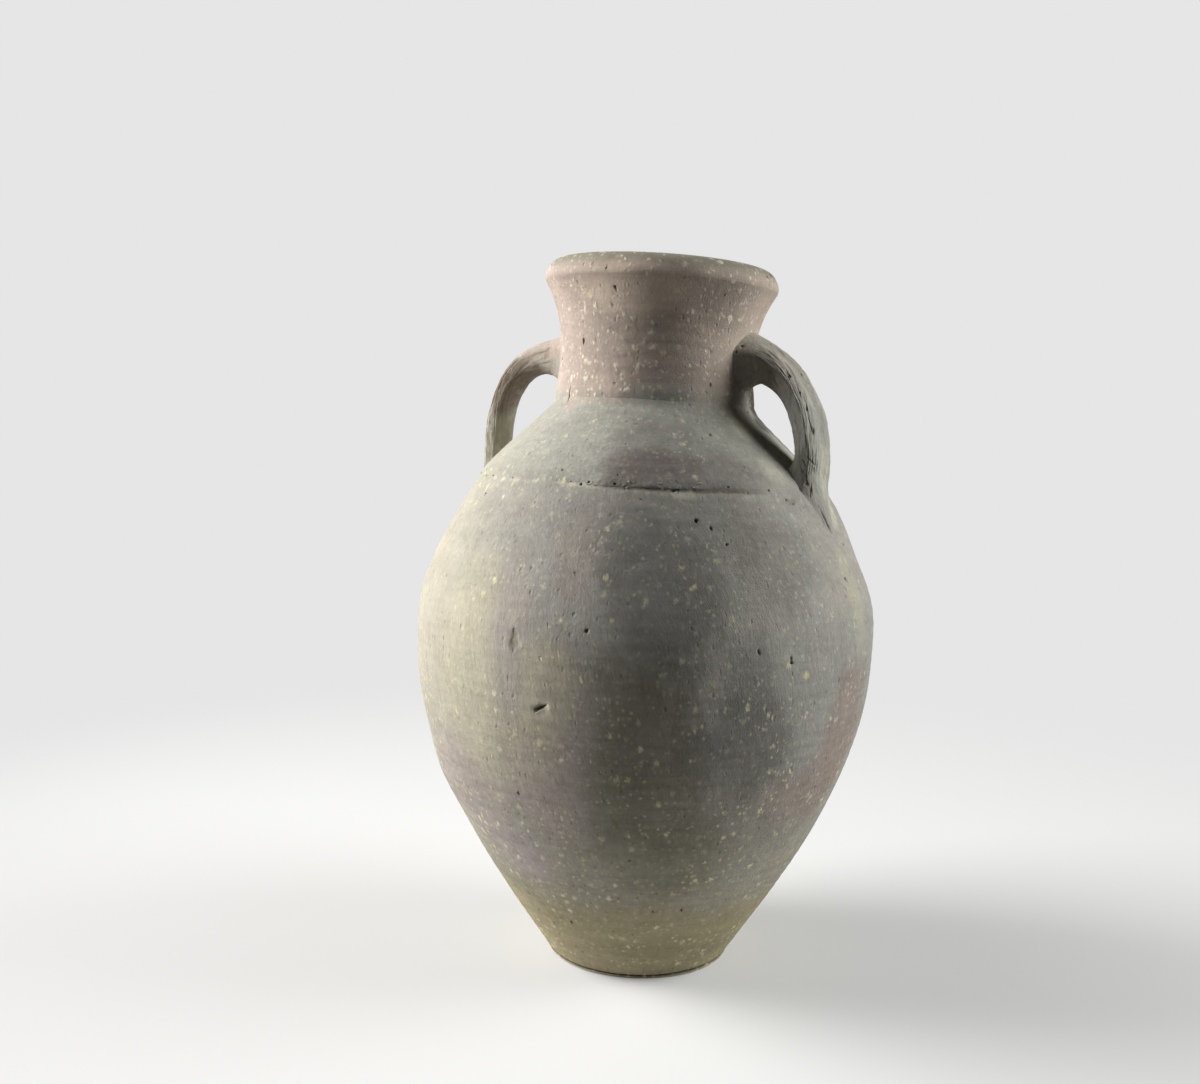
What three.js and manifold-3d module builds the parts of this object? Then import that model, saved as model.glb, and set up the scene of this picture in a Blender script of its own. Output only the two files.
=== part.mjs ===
// A two-handled storage jar of thrown clay, built as it is made: a slab base, a lower body, a shoulder
// and a neck thrown apart, joined leather-hard by stepped rims and inside coils, then two strap handles
// bedded in clay at both of their roots. Millimetres, +Z up, origin in the middle of the foot, and the
// handles lie along X. Everything is modelled upright, and the finished clay then leans as the jar does.

import * as THREE from 'three';
import { mergeVertices } from 'three/addons/utils/BufferGeometryUtils.js';
import Module from 'manifold-3d';

const wasm = await Module();
wasm.setup();

// Outside radii of the jar, from the foot up
const footRadius = 52.3;
const bellyRadius = 131.9;
const shoulderSeamRadius = 98;
const neckSeamRadius = 57.6;
const rimRadius = 67.6;
const crestRadius = 59.5;
const mouthRadius = 54.5;

// Heights, each measured from the one below it
const footToBelly = 186;
const bellyToShoulderSeam = 93;
const shoulderSeamToNeckSeam = 44;
const neckSeamToRim = 67;
const rimToCrest = 10;
const mouthEdgeDrop = 4;
const throatAboveNeckSeam = 30;

// How far each curve of the outside runs on in its first direction before it turns
const footRun = 52;
const belowBellyRun = 76.6;
const aboveBellyRun = 25.3;
const belowShoulderSeamRun = 64.5;
const aboveShoulderSeamRun = 18;
const belowNeckSeamRun = 7.5;
const aboveNeckSeamRun = 28;
const belowRimRun = 24;
const aboveRimRun = 5.5;
const outsideCrestRun = 3.5;
const insideCrestRun = 2.4;
const mouthEdgeRun = 2;
const belowMouthRun = 14;
const aboveThroatRun = 12;

// Slopes of the outside in degrees from upright, positive where it opens outwards
const footSlope = 31.9;
const shoulderSeamSlope = -31;
const neckSeamSlope = -8;
const rimSlope = 33;

// Clay thicknesses
const wallThickness = 8;
const floorThickness = 10;
const slabEdge = 2.6;
const slabBevel = 1;
const heelRise = 13;

// The stepped seams, their inside coils and the hairline of slip between any two pieces
const seamStep = 6;
const coilHalfHeight = 11;
const coilThickness = 4.5;
const slip = 0.3;

// The lean: the clay bends over evenly above this height, towards a heading seen from above
const leanStartHeight = 111.6;
const leanDegrees = 3.1;
const leanHeadingDegrees = 29.3;

// Each handle. Its roots are measured up the jar from a seam, and the two points that pull its curve
// are measured from its roots. The clay that beds a root spreads past the strap's outline on the wall:
// ahead is where the strap's outer face looks, up the neck at one root and down the shoulder at the other.
const handleRootDepth = 4;
const rightHandle = {
  side: 1,
  upperRootAboveNeckSeam: 28,
  lowerRootAboveShoulderSeam: -4,
  upperPull: { out: 47.5, up: -2.5 },
  lowerPull: { out: 4.5, up: 19.5 },
  thickness: { upper: 32, middle: 15.5, lower: 13.5 },
  width: { upper: 23.5, middle: 24.5, lower: 22.5 },
  upperBed: { ahead: 2, behind: 4.5, across: 2.5 },
  lowerBed: { ahead: 34, behind: 4, across: 2 },
};
const leftHandle = {
  side: -1,
  upperRootAboveNeckSeam: 24.5,
  lowerRootAboveShoulderSeam: -20,
  upperPull: { out: 63, up: 11 },
  lowerPull: { out: 4, up: 39.5 },
  thickness: { upper: 32, middle: 12, lower: 14 },
  width: { upper: 21.5, middle: 19.5, lower: 21 },
  upperBed: { ahead: 2, behind: 6, across: 2.5 },
  lowerBed: { ahead: 26, behind: 4, across: 2 },
};
const strapSquareness = 3.4;
const strapGrooveDepth = 0.9;
const strapRunPastRoot = 14;
const bedUpStrap = 19;
const bedEdge = 0.9;
const bedKeyDepth = 3;
const bedFlare = 3;

// Facet counts: round the jar, up each stretch of its walls, and along and round the handles
const aroundCount = 48;
const lowerOutsideCount = 12;
const lowerInsideCount = 10;
const heelCount = 3;
const shoulderOutsideCount = 7;
const shoulderInsideCount = 3;
const neckOutsideCount = 8;
const lipOutsideCount = 4;
const lipInsideCount = 3;
const throatCount = 4;
const belowThroatCount = 2;
const halfCoilCount = 2;
const coilFrontCount = 6;
const blankCount = 40;
const strapCount = 20;
const sectionCount = 20;
const bedCount = 6;

// Halvings of a search for where two shapes meet
const searchCount = 40;
const meetingSearchCount = 16;

const bellyHeight = footToBelly;
const shoulderSeamHeight = bellyHeight + bellyToShoulderSeam;
const neckSeamHeight = shoulderSeamHeight + shoulderSeamToNeckSeam;
const rimHeight = neckSeamHeight + neckSeamToRim;
const crestHeight = rimHeight + rimToCrest;
const slabRadius = footRadius - wallThickness;

const clayGrey = { color: 0x8f8a7c, roughness: 0.95, metalness: 0 };
const clayRose = { color: 0x8a7468, roughness: 0.95, metalness: 0 };
const clayOlive = { color: 0x857d62, roughness: 0.95, metalness: 0 };

const at = (x, y) => new THREE.Vector2(x, y);
const heading = (degrees) => at(
  Math.sin(THREE.MathUtils.degToRad(degrees)),
  Math.cos(THREE.MathUtils.degToRad(degrees)),
);
const mix = (from, to, share) => from + (to - from) * share;

// A cubic stretch of the outside between two points, each with its slope and its run
function stretch(start, startSlope, startRun, end, endSlope, endRun) {
  const leave = start.clone().addScaledVector(heading(startSlope), startRun);
  const arrive = end.clone().addScaledVector(heading(endSlope), -endRun);
  return new THREE.CubicBezierCurve(start, leave, arrive, end);
}

// The outside of the wall as one path of radius against height
const foot = at(footRadius, 0);
const belly = at(bellyRadius, bellyHeight);
const shoulderSeam = at(shoulderSeamRadius, shoulderSeamHeight);
const neckSeam = at(neckSeamRadius, neckSeamHeight);
const rim = at(rimRadius, rimHeight);
const outside = new THREE.CurvePath();
outside.add(stretch(foot, footSlope, footRun, belly, 0, belowBellyRun));
outside.add(stretch(belly, 0, aboveBellyRun, shoulderSeam, shoulderSeamSlope, belowShoulderSeamRun));
outside.add(stretch(
  shoulderSeam, shoulderSeamSlope, aboveShoulderSeamRun,
  neckSeam, neckSeamSlope, belowNeckSeamRun,
));
outside.add(stretch(neckSeam, neckSeamSlope, aboveNeckSeamRun, rim, rimSlope, belowRimRun));
const outsideLengths = outside.getCurveLengths();
const shoulderSeamWay = outsideLengths[1];
const neckSeamWay = outsideLengths[2];
const rimWay = outsideLengths[3];
const shoulderCoil = coilReach(shoulderSeamWay);
const neckCoil = coilReach(neckSeamWay);

// The inside coil of a seam is centred on the top of the tongue, where the seam opens inside
function coilReach(seamWay) {
  const middle = seamWay + seamStep;
  return { bottom: middle - coilHalfHeight, middle, top: middle + coilHalfHeight };
}

// A point of the wall: how far up the outside it lies, and how deep in the clay
function inWall(way, depth) {
  const share = THREE.MathUtils.clamp(way / rimWay, 0, 1);
  const tangent = outside.getTangent(share);
  const inwards = at(-tangent.y, tangent.x);
  return outside.getPoint(share).addScaledVector(inwards, depth);
}

// The way up the outside at which the wall at a given depth reaches a height
function wayAtHeight(height, depth) {
  let low = 0;
  let high = rimWay;
  for (let step = 0; step < searchCount; step += 1) {
    const middle = (low + high) / 2;
    if (inWall(middle, depth).y < height) low = middle;
    else high = middle;
  }
  return low;
}

// Evenly spaced points of the wall at one depth, both ends included
function wallLine(fromWay, toWay, depth, count) {
  const points = [];
  for (let step = 0; step <= count; step += 1) {
    points.push(inWall(mix(fromWay, toWay, step / count), depth));
  }
  return points;
}

// The whole jar bends over evenly above the height where the lean starts
function leanOver(geometry) {
  const turn = THREE.MathUtils.degToRad(leanHeadingDegrees);
  const curvature = THREE.MathUtils.degToRad(leanDegrees) / (crestHeight - leanStartHeight);
  const position = geometry.getAttribute('position');
  for (let index = 0; index < position.count; index += 1) {
    const height = position.getZ(index);
    if (height <= leanStartHeight) continue;
    const x = position.getX(index);
    const y = position.getY(index);
    const along = x * Math.cos(turn) + y * Math.sin(turn);
    const across = y * Math.cos(turn) - x * Math.sin(turn);
    const angle = (height - leanStartHeight) * curvature;
    const leant = (1 - Math.cos(angle)) / curvature + along * Math.cos(angle);
    const raised = leanStartHeight + Math.sin(angle) / curvature - along * Math.sin(angle);
    position.setXYZ(
      index,
      leant * Math.cos(turn) - across * Math.sin(turn),
      leant * Math.sin(turn) + across * Math.cos(turn),
      raised,
    );
  }
  return geometry;
}

// A closed section turned about the jar's axis
function turned(section) {
  const closed = section[0].x === 0 ? section : [...section, section[0].clone()];
  const geometry = new THREE.LatheGeometry(closed, aroundCount);
  return solidOf(geometry.rotateX(Math.PI / 2));
}

// A closed geometry as a solid that can be cut, its faces turned out if they point in
function solidOf(geometry) {
  geometry.deleteAttribute('normal');
  geometry.deleteAttribute('uv');
  const merged = mergeVertices(geometry, 1e-4);
  const vertices = Float32Array.from(merged.getAttribute('position').array);
  const triangles = Uint32Array.from(merged.index.array);
  if (signedVolume(vertices, triangles) < 0) {
    for (let corner = 0; corner < triangles.length; corner += 3) {
      [triangles[corner], triangles[corner + 1]] = [triangles[corner + 1], triangles[corner]];
    }
  }
  return new wasm.Manifold(new wasm.Mesh({ numProp: 3, vertProperties: vertices, triVerts: triangles }));
}

function signedVolume(vertices, triangles) {
  const corners = [new THREE.Vector3(), new THREE.Vector3(), new THREE.Vector3()];
  let total = 0;
  for (let first = 0; first < triangles.length; first += 3) {
    corners.forEach((corner, index) => corner.fromArray(vertices, triangles[first + index] * 3));
    total += corners[0].dot(corners[1].clone().cross(corners[2])) / 6;
  }
  return total;
}

// A solid as a named piece of the jar, leant over with the rest
function piece(name, solid, clay) {
  const mesh = solid.getMesh();
  const geometry = new THREE.BufferGeometry();
  geometry.setAttribute('position', new THREE.BufferAttribute(mesh.vertProperties, 3));
  geometry.setIndex(new THREE.BufferAttribute(mesh.triVerts, 1));
  leanOver(geometry);
  geometry.computeVertexNormals();
  const node = new THREE.Mesh(geometry, new THREE.MeshStandardMaterial(clay));
  node.name = name;
  return node;
}

// The slab that the jar stands on: a thin edge shows, and a thicker middle fills the lower body's hole
function baseDisc() {
  return turned([
    at(0, 0),
    at(footRadius - slabBevel, 0),
    inWall(wayAtHeight(slabBevel, 0), 0),
    inWall(wayAtHeight(slabEdge, 0), 0),
    at(slabRadius, slabEdge),
    at(slabRadius, floorThickness),
    at(0, floorThickness),
  ]);
}

// The lower body, from its ring on the slab to the tongue that the shoulder laps over
function lowerBody() {
  const start = wayAtHeight(slabEdge + slip, 0);
  const holeRadius = slabRadius + slip;
  const heelWay = wayAtHeight(floorThickness + heelRise, wallThickness);
  const heelTop = inWall(heelWay, wallThickness);
  const heelLean = inWall(heelWay + 1, wallThickness).sub(heelTop);
  const heelTurn = at(heelTop.x - heelRise * heelLean.x / heelLean.y, floorThickness);
  const heel = new THREE.QuadraticBezierCurve(heelTop, heelTurn, at(holeRadius, floorThickness));
  const tongueTop = shoulderSeamWay + seamStep;
  return turned([
    ...wallLine(start, shoulderSeamWay, 0, lowerOutsideCount),
    ...wallLine(shoulderSeamWay, tongueTop, wallThickness / 2, 1),
    ...wallLine(tongueTop, shoulderCoil.bottom, wallThickness, halfCoilCount),
    ...wallLine(shoulderCoil.bottom, heelWay, wallThickness, lowerInsideCount).slice(1),
    ...heel.getPoints(heelCount).slice(1),
    at(holeRadius, slabEdge + slip),
  ]);
}

// The shoulder, lapped over the lower body and ending in a tongue for the neck
function shoulder() {
  const socketTop = shoulderSeamWay + seamStep + slip;
  const tongueTop = neckSeamWay + seamStep;
  return turned([
    ...wallLine(shoulderSeamWay + slip, neckSeamWay, 0, shoulderOutsideCount),
    ...wallLine(neckSeamWay, tongueTop, wallThickness / 2, 1),
    ...wallLine(tongueTop, neckCoil.bottom, wallThickness, halfCoilCount),
    ...wallLine(neckCoil.bottom, shoulderCoil.top, wallThickness, shoulderInsideCount).slice(1),
    ...wallLine(shoulderCoil.top, socketTop, wallThickness, halfCoilCount).slice(1),
    ...wallLine(socketTop, shoulderSeamWay + slip, wallThickness / 2 - slip, 1),
  ]);
}

// The rolled lip, from the rim over its crest to the mouth's edge
function lipLine() {
  const crest = at(crestRadius, crestHeight);
  const mouthEdge = at(mouthRadius, crestHeight - mouthEdgeDrop);
  const outerRoll = stretch(rim, 0, aboveRimRun, crest, -90, outsideCrestRun);
  const innerRoll = stretch(crest, -90, insideCrestRun, mouthEdge, 180, mouthEdgeRun);
  return [
    ...outerRoll.getPoints(lipOutsideCount).slice(1),
    ...innerRoll.getPoints(lipInsideCount).slice(1),
  ];
}

// The neck, lapped over the shoulder's tongue and opening to the lip
function neck() {
  const socketTop = neckSeamWay + seamStep + slip;
  const throatWay = neckSeamWay + throatAboveNeckSeam;
  const throat = inWall(throatWay, wallThickness);
  const lip = lipLine();
  const flare = stretch(lip[lip.length - 1], 180, belowMouthRun, throat, 180, aboveThroatRun);
  return turned([
    ...wallLine(neckSeamWay + slip, rimWay, 0, neckOutsideCount),
    ...lip,
    ...flare.getPoints(throatCount).slice(1),
    ...wallLine(throatWay, neckCoil.top, wallThickness, belowThroatCount).slice(1),
    ...wallLine(neckCoil.top, socketTop, wallThickness, halfCoilCount).slice(1),
    ...wallLine(socketTop, neckSeamWay + slip, wallThickness / 2 - slip, 1),
  ]);
}

// A coil pressed and smoothed over the inside of a seam
function seamCoil(coil) {
  const backDepth = wallThickness + slip;
  const back = wallLine(coil.bottom, coil.top, backDepth, 2 * halfCoilCount);
  const front = [];
  for (let step = 1; step < coilFrontCount; step += 1) {
    const across = 1 - 2 * step / coilFrontCount;
    const bulge = coilThickness * Math.sqrt(1 - across * across);
    front.push(inWall(coil.middle + coilHalfHeight * across, backDepth + bulge));
  }
  return turned([...back, ...front]);
}

// Everything inside the outer surface of the jar, grown by the slip, to cut the roots with
function wallBlank() {
  const line = wallLine(0, rimWay, -slip, blankCount);
  const lip = lipLine().map((point) => at(point.x + slip, point.y + slip));
  return turned([at(0, 0), ...line, ...lip, at(0, crestHeight)]);
}

// Where on the outside the two roots of a handle are centred
function upperRootWay(handle) {
  return wayAtHeight(neckSeamHeight + handle.upperRootAboveNeckSeam, 0);
}

function lowerRootWay(handle) {
  return wayAtHeight(shoulderSeamHeight + handle.lowerRootAboveShoulderSeam, 0);
}

// The line of a handle in the upright plane through it, from its upper root to its lower one
function handleCurve(handle) {
  const upper = inWall(upperRootWay(handle), handleRootDepth);
  const lower = inWall(lowerRootWay(handle), handleRootDepth);
  return new THREE.CubicBezierCurve(
    upper,
    at(upper.x + handle.upperPull.out, upper.y + handle.upperPull.up),
    at(lower.x + handle.lowerPull.out, lower.y + handle.lowerPull.up),
    lower,
  );
}

// A size of the strap along it: even in the middle and easing to each root
function alongStrap(size, share) {
  const rootSize = share < 0.5 ? size.upper : size.lower;
  return mix(size.middle, rootSize, Math.min(1, (2 * share - 1) ** 2));
}

// A strap's section: an ellipse squared off towards its edges, with two ribs and a shallow groove between
// them on its outer face
function strapSection(thickness, width, groove) {
  const squared = (value) => Math.sign(value) * Math.abs(value) ** (2 / strapSquareness);
  const points = [];
  for (let index = 0; index < sectionCount; index += 1) {
    const angle = 2 * Math.PI * index / sectionCount;
    const outwards = squared(Math.cos(angle));
    const across = squared(Math.sin(angle));
    const sunk = groove * Math.cos(2 * Math.PI * across) * Math.max(0, outwards) * (1 - across ** 2);
    points.push(at(outwards * thickness / 2 - sunk, across * width / 2));
  }
  return points;
}

// One ring of the strap, a given way along it, grown all round. Before its start and past its end the
// strap runs straight on.
function strapRing(handle, curve, way, growth) {
  const length = curve.getLength();
  const nearest = THREE.MathUtils.clamp(way, 0, length);
  const share = nearest / length;
  const tangent = curve.getTangentAt(share);
  const centre = curve.getPointAt(share).addScaledVector(tangent, way - nearest);
  const outwards = at(-tangent.y, tangent.x);
  const thickness = alongStrap(handle.thickness, share) + 2 * growth;
  const width = alongStrap(handle.width, share) + 2 * growth;
  const groove = strapGrooveDepth * Math.sin(Math.PI * share);
  return strapSection(thickness, width, groove).map((point) => {
    const inPlane = centre.clone().addScaledVector(outwards, point.x);
    return new THREE.Vector3(handle.side * inPlane.x, point.y, inPlane.y);
  });
}

// A solid through rings that all have the same number of points, closed by a fan at each end
function loft(rings) {
  const size = rings[0].length;
  const points = rings.flat();
  const indices = [];
  for (let ring = 0; ring < rings.length - 1; ring += 1) {
    for (let index = 0; index < size; index += 1) {
      const here = ring * size + index;
      const beside = ring * size + (index + 1) % size;
      indices.push(here, beside, here + size, beside, beside + size, here + size);
    }
  }
  for (const [first, flip] of [[0, true], [(rings.length - 1) * size, false]]) {
    const middle = points.length;
    const centre = new THREE.Vector3();
    for (let index = 0; index < size; index += 1) centre.addScaledVector(points[first + index], 1 / size);
    points.push(centre);
    for (let index = 0; index < size; index += 1) {
      const here = first + index;
      const beside = first + (index + 1) % size;
      indices.push(...(flip ? [middle, beside, here] : [middle, here, beside]));
    }
  }
  const geometry = new THREE.BufferGeometry().setFromPoints(points);
  geometry.setIndex(indices);
  return solidOf(geometry);
}

const blank = wallBlank();

// A strap's whole length, run on past both roots so that the wall cuts it cleanly
function longStrap(handle, growth) {
  const curve = handleCurve(handle);
  const rings = [];
  for (let step = 0; step <= strapCount; step += 1) {
    const end = curve.getLength() + strapRunPastRoot;
    rings.push(strapRing(handle, curve, mix(-strapRunPastRoot, end, step / strapCount), growth));
  }
  return loft(rings);
}

// A handle: its strap, cut to the curve of the wall at both roots
function strap(handle) {
  return longStrap(handle, 0).subtract(blank);
}

// A point on the jar: up its outside, round it from a handle's plane, and how deep in the wall
function onWall(handle, way, angle, depth) {
  const point = inWall(way, depth);
  return new THREE.Vector3(
    handle.side * point.x * Math.cos(angle), point.x * Math.sin(angle), point.y,
  );
}

function isInsideJar(point) {
  const radius = Math.hypot(point.x, point.y);
  return radius < inWall(wayAtHeight(point.z, 0), 0).x;
}

// How far along the strap one of its lines comes out of the wall at a root
function wayOutOfWall(handle, curve, root, index) {
  let within = root.way - root.inland * strapRunPastRoot;
  let beyond = root.way + root.inland * bedUpStrap;
  for (let step = 0; step < meetingSearchCount; step += 1) {
    const middle = (within + beyond) / 2;
    if (isInsideJar(strapRing(handle, curve, middle, bedEdge)[index])) within = middle;
    else beyond = middle;
  }
  return within;
}

// One line of a bed, from inside the wall to its thin edge on the strap. It starts where the clay ends on
// the wall, a spread away from where the strap comes out, and draws in to the strap like a bell.
function bedLine(handle, curve, root, index) {
  const angle = 2 * Math.PI * index / sectionCount;
  const start = wayOutOfWall(handle, curve, root, index);
  const meeting = strapRing(handle, curve, start, bedEdge)[index];
  const meetingWay = wayAtHeight(meeting.z, 0);
  const reach = Math.cos(angle) > 0 ? root.bed.ahead * Math.cos(angle) ** 2 : root.bed.behind;
  const way = meetingWay + root.upwards * reach * Math.cos(angle);
  const turn = Math.asin((meeting.y + root.bed.across * Math.sin(angle)) / inWall(way, 0).x);
  const spread = onWall(handle, way, turn, -slip - bedEdge / 2).sub(meeting);
  const line = [onWall(handle, way, turn, bedKeyDepth)];
  for (let step = 0; step <= bedCount; step += 1) {
    const share = (step / bedCount) ** 2;
    const onStrap = strapRing(handle, curve, start + root.inland * bedUpStrap * share, bedEdge)[index];
    line.push(onStrap.addScaledVector(spread, (1 - share) ** bedFlare));
  }
  return line;
}

// The clay round a root, cut to the wall and to the strap
function bed(handle, root) {
  const curve = handleCurve(handle);
  const lines = [];
  for (let index = 0; index < sectionCount; index += 1) lines.push(bedLine(handle, curve, root, index));
  const rings = lines[0].map((unused, ring) => lines.map((line) => line[ring]));
  return loft(rings).subtract(blank).subtract(longStrap(handle, slip));
}

function neckBed(handle) {
  return bed(handle, { bed: handle.upperBed, way: 0, inland: 1, upwards: 1 });
}

function shoulderBed(handle) {
  const end = handleCurve(handle).getLength();
  return bed(handle, { bed: handle.lowerBed, way: end, inland: -1, upwards: -1 });
}

const vase = new THREE.Group();
vase.add(piece('base_disc', baseDisc(), clayOlive));
vase.add(piece('lower_body', lowerBody(), clayGrey));
vase.add(piece('shoulder', shoulder(), clayGrey));
vase.add(piece('neck', neck(), clayRose));
vase.add(piece('shoulder_seam_coil', seamCoil(shoulderCoil), clayGrey));
vase.add(piece('neck_seam_coil', seamCoil(neckCoil), clayRose));
vase.add(piece('handle_right', strap(rightHandle), clayGrey));
vase.add(piece('handle_left', strap(leftHandle), clayRose));
vase.add(piece('neck_bed_right', neckBed(rightHandle), clayGrey));
vase.add(piece('neck_bed_left', neckBed(leftHandle), clayRose));
vase.add(piece('shoulder_bed_right', shoulderBed(rightHandle), clayGrey));
vase.add(piece('shoulder_bed_left', shoulderBed(leftHandle), clayGrey));

export default vase;
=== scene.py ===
# %% [markdown]
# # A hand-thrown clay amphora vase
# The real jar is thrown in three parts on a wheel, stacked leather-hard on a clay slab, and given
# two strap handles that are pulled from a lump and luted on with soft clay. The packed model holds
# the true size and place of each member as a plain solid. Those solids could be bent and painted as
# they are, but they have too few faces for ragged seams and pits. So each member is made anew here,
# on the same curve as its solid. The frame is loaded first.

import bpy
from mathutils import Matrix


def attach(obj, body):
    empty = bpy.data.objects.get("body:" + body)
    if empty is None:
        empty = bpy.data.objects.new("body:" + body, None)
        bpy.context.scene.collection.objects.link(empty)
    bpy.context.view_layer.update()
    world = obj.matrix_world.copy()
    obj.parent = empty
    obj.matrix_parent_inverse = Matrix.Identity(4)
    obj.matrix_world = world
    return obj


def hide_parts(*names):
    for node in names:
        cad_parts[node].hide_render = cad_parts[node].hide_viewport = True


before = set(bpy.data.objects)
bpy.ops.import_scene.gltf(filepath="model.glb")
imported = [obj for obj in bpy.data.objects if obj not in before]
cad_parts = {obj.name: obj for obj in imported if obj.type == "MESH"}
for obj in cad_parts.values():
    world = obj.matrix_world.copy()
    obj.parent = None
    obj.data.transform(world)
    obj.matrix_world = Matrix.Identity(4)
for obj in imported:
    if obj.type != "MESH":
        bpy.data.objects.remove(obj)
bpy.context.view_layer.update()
print("nodes:", sorted(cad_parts))

# %% [markdown]
# ## The camera
# The viewpoint was worked out from how the rim, the seam and the foot curve in the photograph: it
# stands 0.70 m away, a little below the rim, turned 29 degrees round from the plane of the handles.
# The vase stands a little to the right of the picture's middle, so the camera stands to its left. A
# constraint could aim it, but its pose is written as one product of matrices here, because the same
# matrix is used below to follow a line of sight back to the clay.

# %% Camera
import math

import bpy
from mathutils import Matrix, Vector

VIEW_TURN = math.radians(29.3)
VIEW_TILT = math.radians(5.353)
VIEW_ROLL = math.radians(0.865)
VIEW_DISTANCE = 0.6951
VIEW_SIDESTEP = -0.026
VIEW_HEIGHT = 0.3067
LENS_MM = 35.68
SENSOR_MM = 36.0


def seen_from_camera(right, away, up):
    """A place given by how far right of the vase, beyond it and above the floor it lies."""
    return Matrix.Rotation(VIEW_TURN, 4, "Z") @ Vector((right, away, up))


scene = bpy.context.scene
camera = bpy.data.objects.new("camera", bpy.data.cameras.new("camera"))
scene.collection.objects.link(camera)
scene.camera = camera
camera.data.lens = LENS_MM
camera.data.sensor_width = SENSOR_MM
camera.data.sensor_fit = "HORIZONTAL"
camera.data.clip_start = 0.01
camera_pose = (
    Matrix.Translation(seen_from_camera(VIEW_SIDESTEP, -VIEW_DISTANCE, VIEW_HEIGHT))
    @ Matrix.Rotation(VIEW_TURN, 4, "Z")
    @ Matrix.Rotation(math.pi / 2 - VIEW_TILT, 4, "X")
    @ Matrix.Rotation(VIEW_ROLL, 4, "Z")
)
camera.matrix_world = camera_pose
print("camera at", [round(value, 3) for value in camera_pose.translation])

# %% [markdown]
# ## Reading places off the photograph
# Pits, stains and scratches belong where the photograph shows them. They could be placed by eye in
# the 3-D view, but then each has to be nudged until it fits. Here a mark is given by its pixel, and
# the line of sight through that pixel is followed to the packed solids, so the mark lies on the
# clay.

# %% From a pixel to the clay
from mathutils.bvhtree import BVHTree

PHOTO_WIDTH = 1200
PHOTO_HEIGHT = 1084


def searchable(*sources):
    """The faces of several objects, made quick to find with a line."""
    points = []
    faces = []
    for source in sources:
        first = len(points)
        points += [source.matrix_world @ vertex.co for vertex in source.data.vertices]
        faces += [[first + index for index in face.vertices] for face in source.data.polygons]
    return BVHTree.FromPolygons(points, faces)


packed_jar = searchable(*(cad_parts[name] for name in ("lower_body", "shoulder", "neck")))
packed_handles = searchable(*(
    node for name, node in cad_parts.items() if "handle" in name or "bed" in name
))


def on_clay(x, y, among=packed_jar):
    """Where the jar lies behind a pixel of the photograph, and which way its clay faces there."""
    right = (x - PHOTO_WIDTH / 2) / PHOTO_WIDTH * SENSOR_MM / LENS_MM
    up = (PHOTO_HEIGHT / 2 - y) / PHOTO_WIDTH * SENSOR_MM / LENS_MM
    sight = camera_pose.to_3x3() @ Vector((right, up, -1))
    place, facing, _, _ = among.ray_cast(camera_pose.translation, sight.normalized())
    return place, facing


print("belly centre:", on_clay(650, 640)[0])

# %% [markdown]
# ## The outside of the jar
# A thrown wall is a curve turned about the wheel's axis. The curve that the packed solids were made
# from is written down here in millimetres: a start, a slope and a run for each stretch. It could be
# a Bezier curve object, but plain numbers can also be asked how wide the jar is at some height. The
# main sizes come first.

# %% Sizes of the jar
import numpy as np

MM = 0.001
WALL_MM = 8.0
FLOOR_MM = 10.0
SLAB_EDGE_MM = 2.6
SLIP_MM = 0.3
SEAM_STEP_MM = 6.0
FOOT = (52.3, 0.0)
BELLY = (131.9, 186.0)
SHOULDER_SEAM = (98.0, 279.0)
NECK_SEAM = (57.6, 323.0)
RIM = (67.6, 390.0)
CREST = (59.5, 400.0)
MOUTH_EDGE = (54.5, 396.0)
LEAN_START_MM = 111.6
LEAN_PER_MM = math.radians(3.1) / (CREST[1] - LEAN_START_MM)
LEAN_HEADING = math.radians(29.3)
print(f"belly {2 * BELLY[0]:.0f} mm across, crest {CREST[1]:.0f} mm high")

# %% The curve of the wall
def stretch(start, start_slope, start_run, end, end_slope, end_run):
    """The four control points of a curve, its slopes in degrees from upright, opening outwards."""
    leave = np.array([math.sin(math.radians(start_slope)), math.cos(math.radians(start_slope))])
    arrive = np.array([math.sin(math.radians(end_slope)), math.cos(math.radians(end_slope))])
    start, end = np.array(start), np.array(end)
    return [start, start + leave * start_run, end - arrive * end_run, end]


def points_along(control, count):
    """Points of a cubic curve."""
    share = np.linspace(0, 1, count)[:, None]
    first, second, third, last = control
    rest = 1 - share
    nearer = rest**3 * first + 3 * rest**2 * share * second
    return nearer + 3 * rest * share**2 * third + share**3 * last


class Path:
    """A line of points in the upright plane, read by the way along it."""

    def __init__(self, points):
        steps = np.linalg.norm(np.diff(points, axis=0), axis=1)
        kept = np.concatenate([[True], steps > 0])
        self.points = points[kept]
        self.ways = np.concatenate([[0], np.cumsum(steps)])[kept]
        self.length = self.ways[-1]
        self.slopes = np.gradient(self.points, self.ways, axis=0)
        self.slopes /= np.linalg.norm(self.slopes, axis=1)[:, None]

    def read(self, table, way):
        way = np.clip(way, 0, self.length)
        return np.stack([np.interp(way, self.ways, table[:, axis]) for axis in (0, 1)], -1)

    def point(self, way):
        return self.read(self.points, way)

    def slope(self, way):
        return self.read(self.slopes, way)


CURVE_STEPS = 500
stretches = [
    points_along(stretch(FOOT, 31.9, 52, BELLY, 0, 76.6), CURVE_STEPS),
    points_along(stretch(BELLY, 0, 25.3, SHOULDER_SEAM, -31, 64.5), CURVE_STEPS),
    points_along(stretch(SHOULDER_SEAM, -31, 18, NECK_SEAM, -8, 7.5), CURVE_STEPS),
    points_along(stretch(NECK_SEAM, -8, 28, RIM, 33, 24), CURVE_STEPS),
]
outside = Path(np.concatenate(stretches))
print(f"the outside is {outside.length:.1f} mm long from the foot to the rim")

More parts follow.
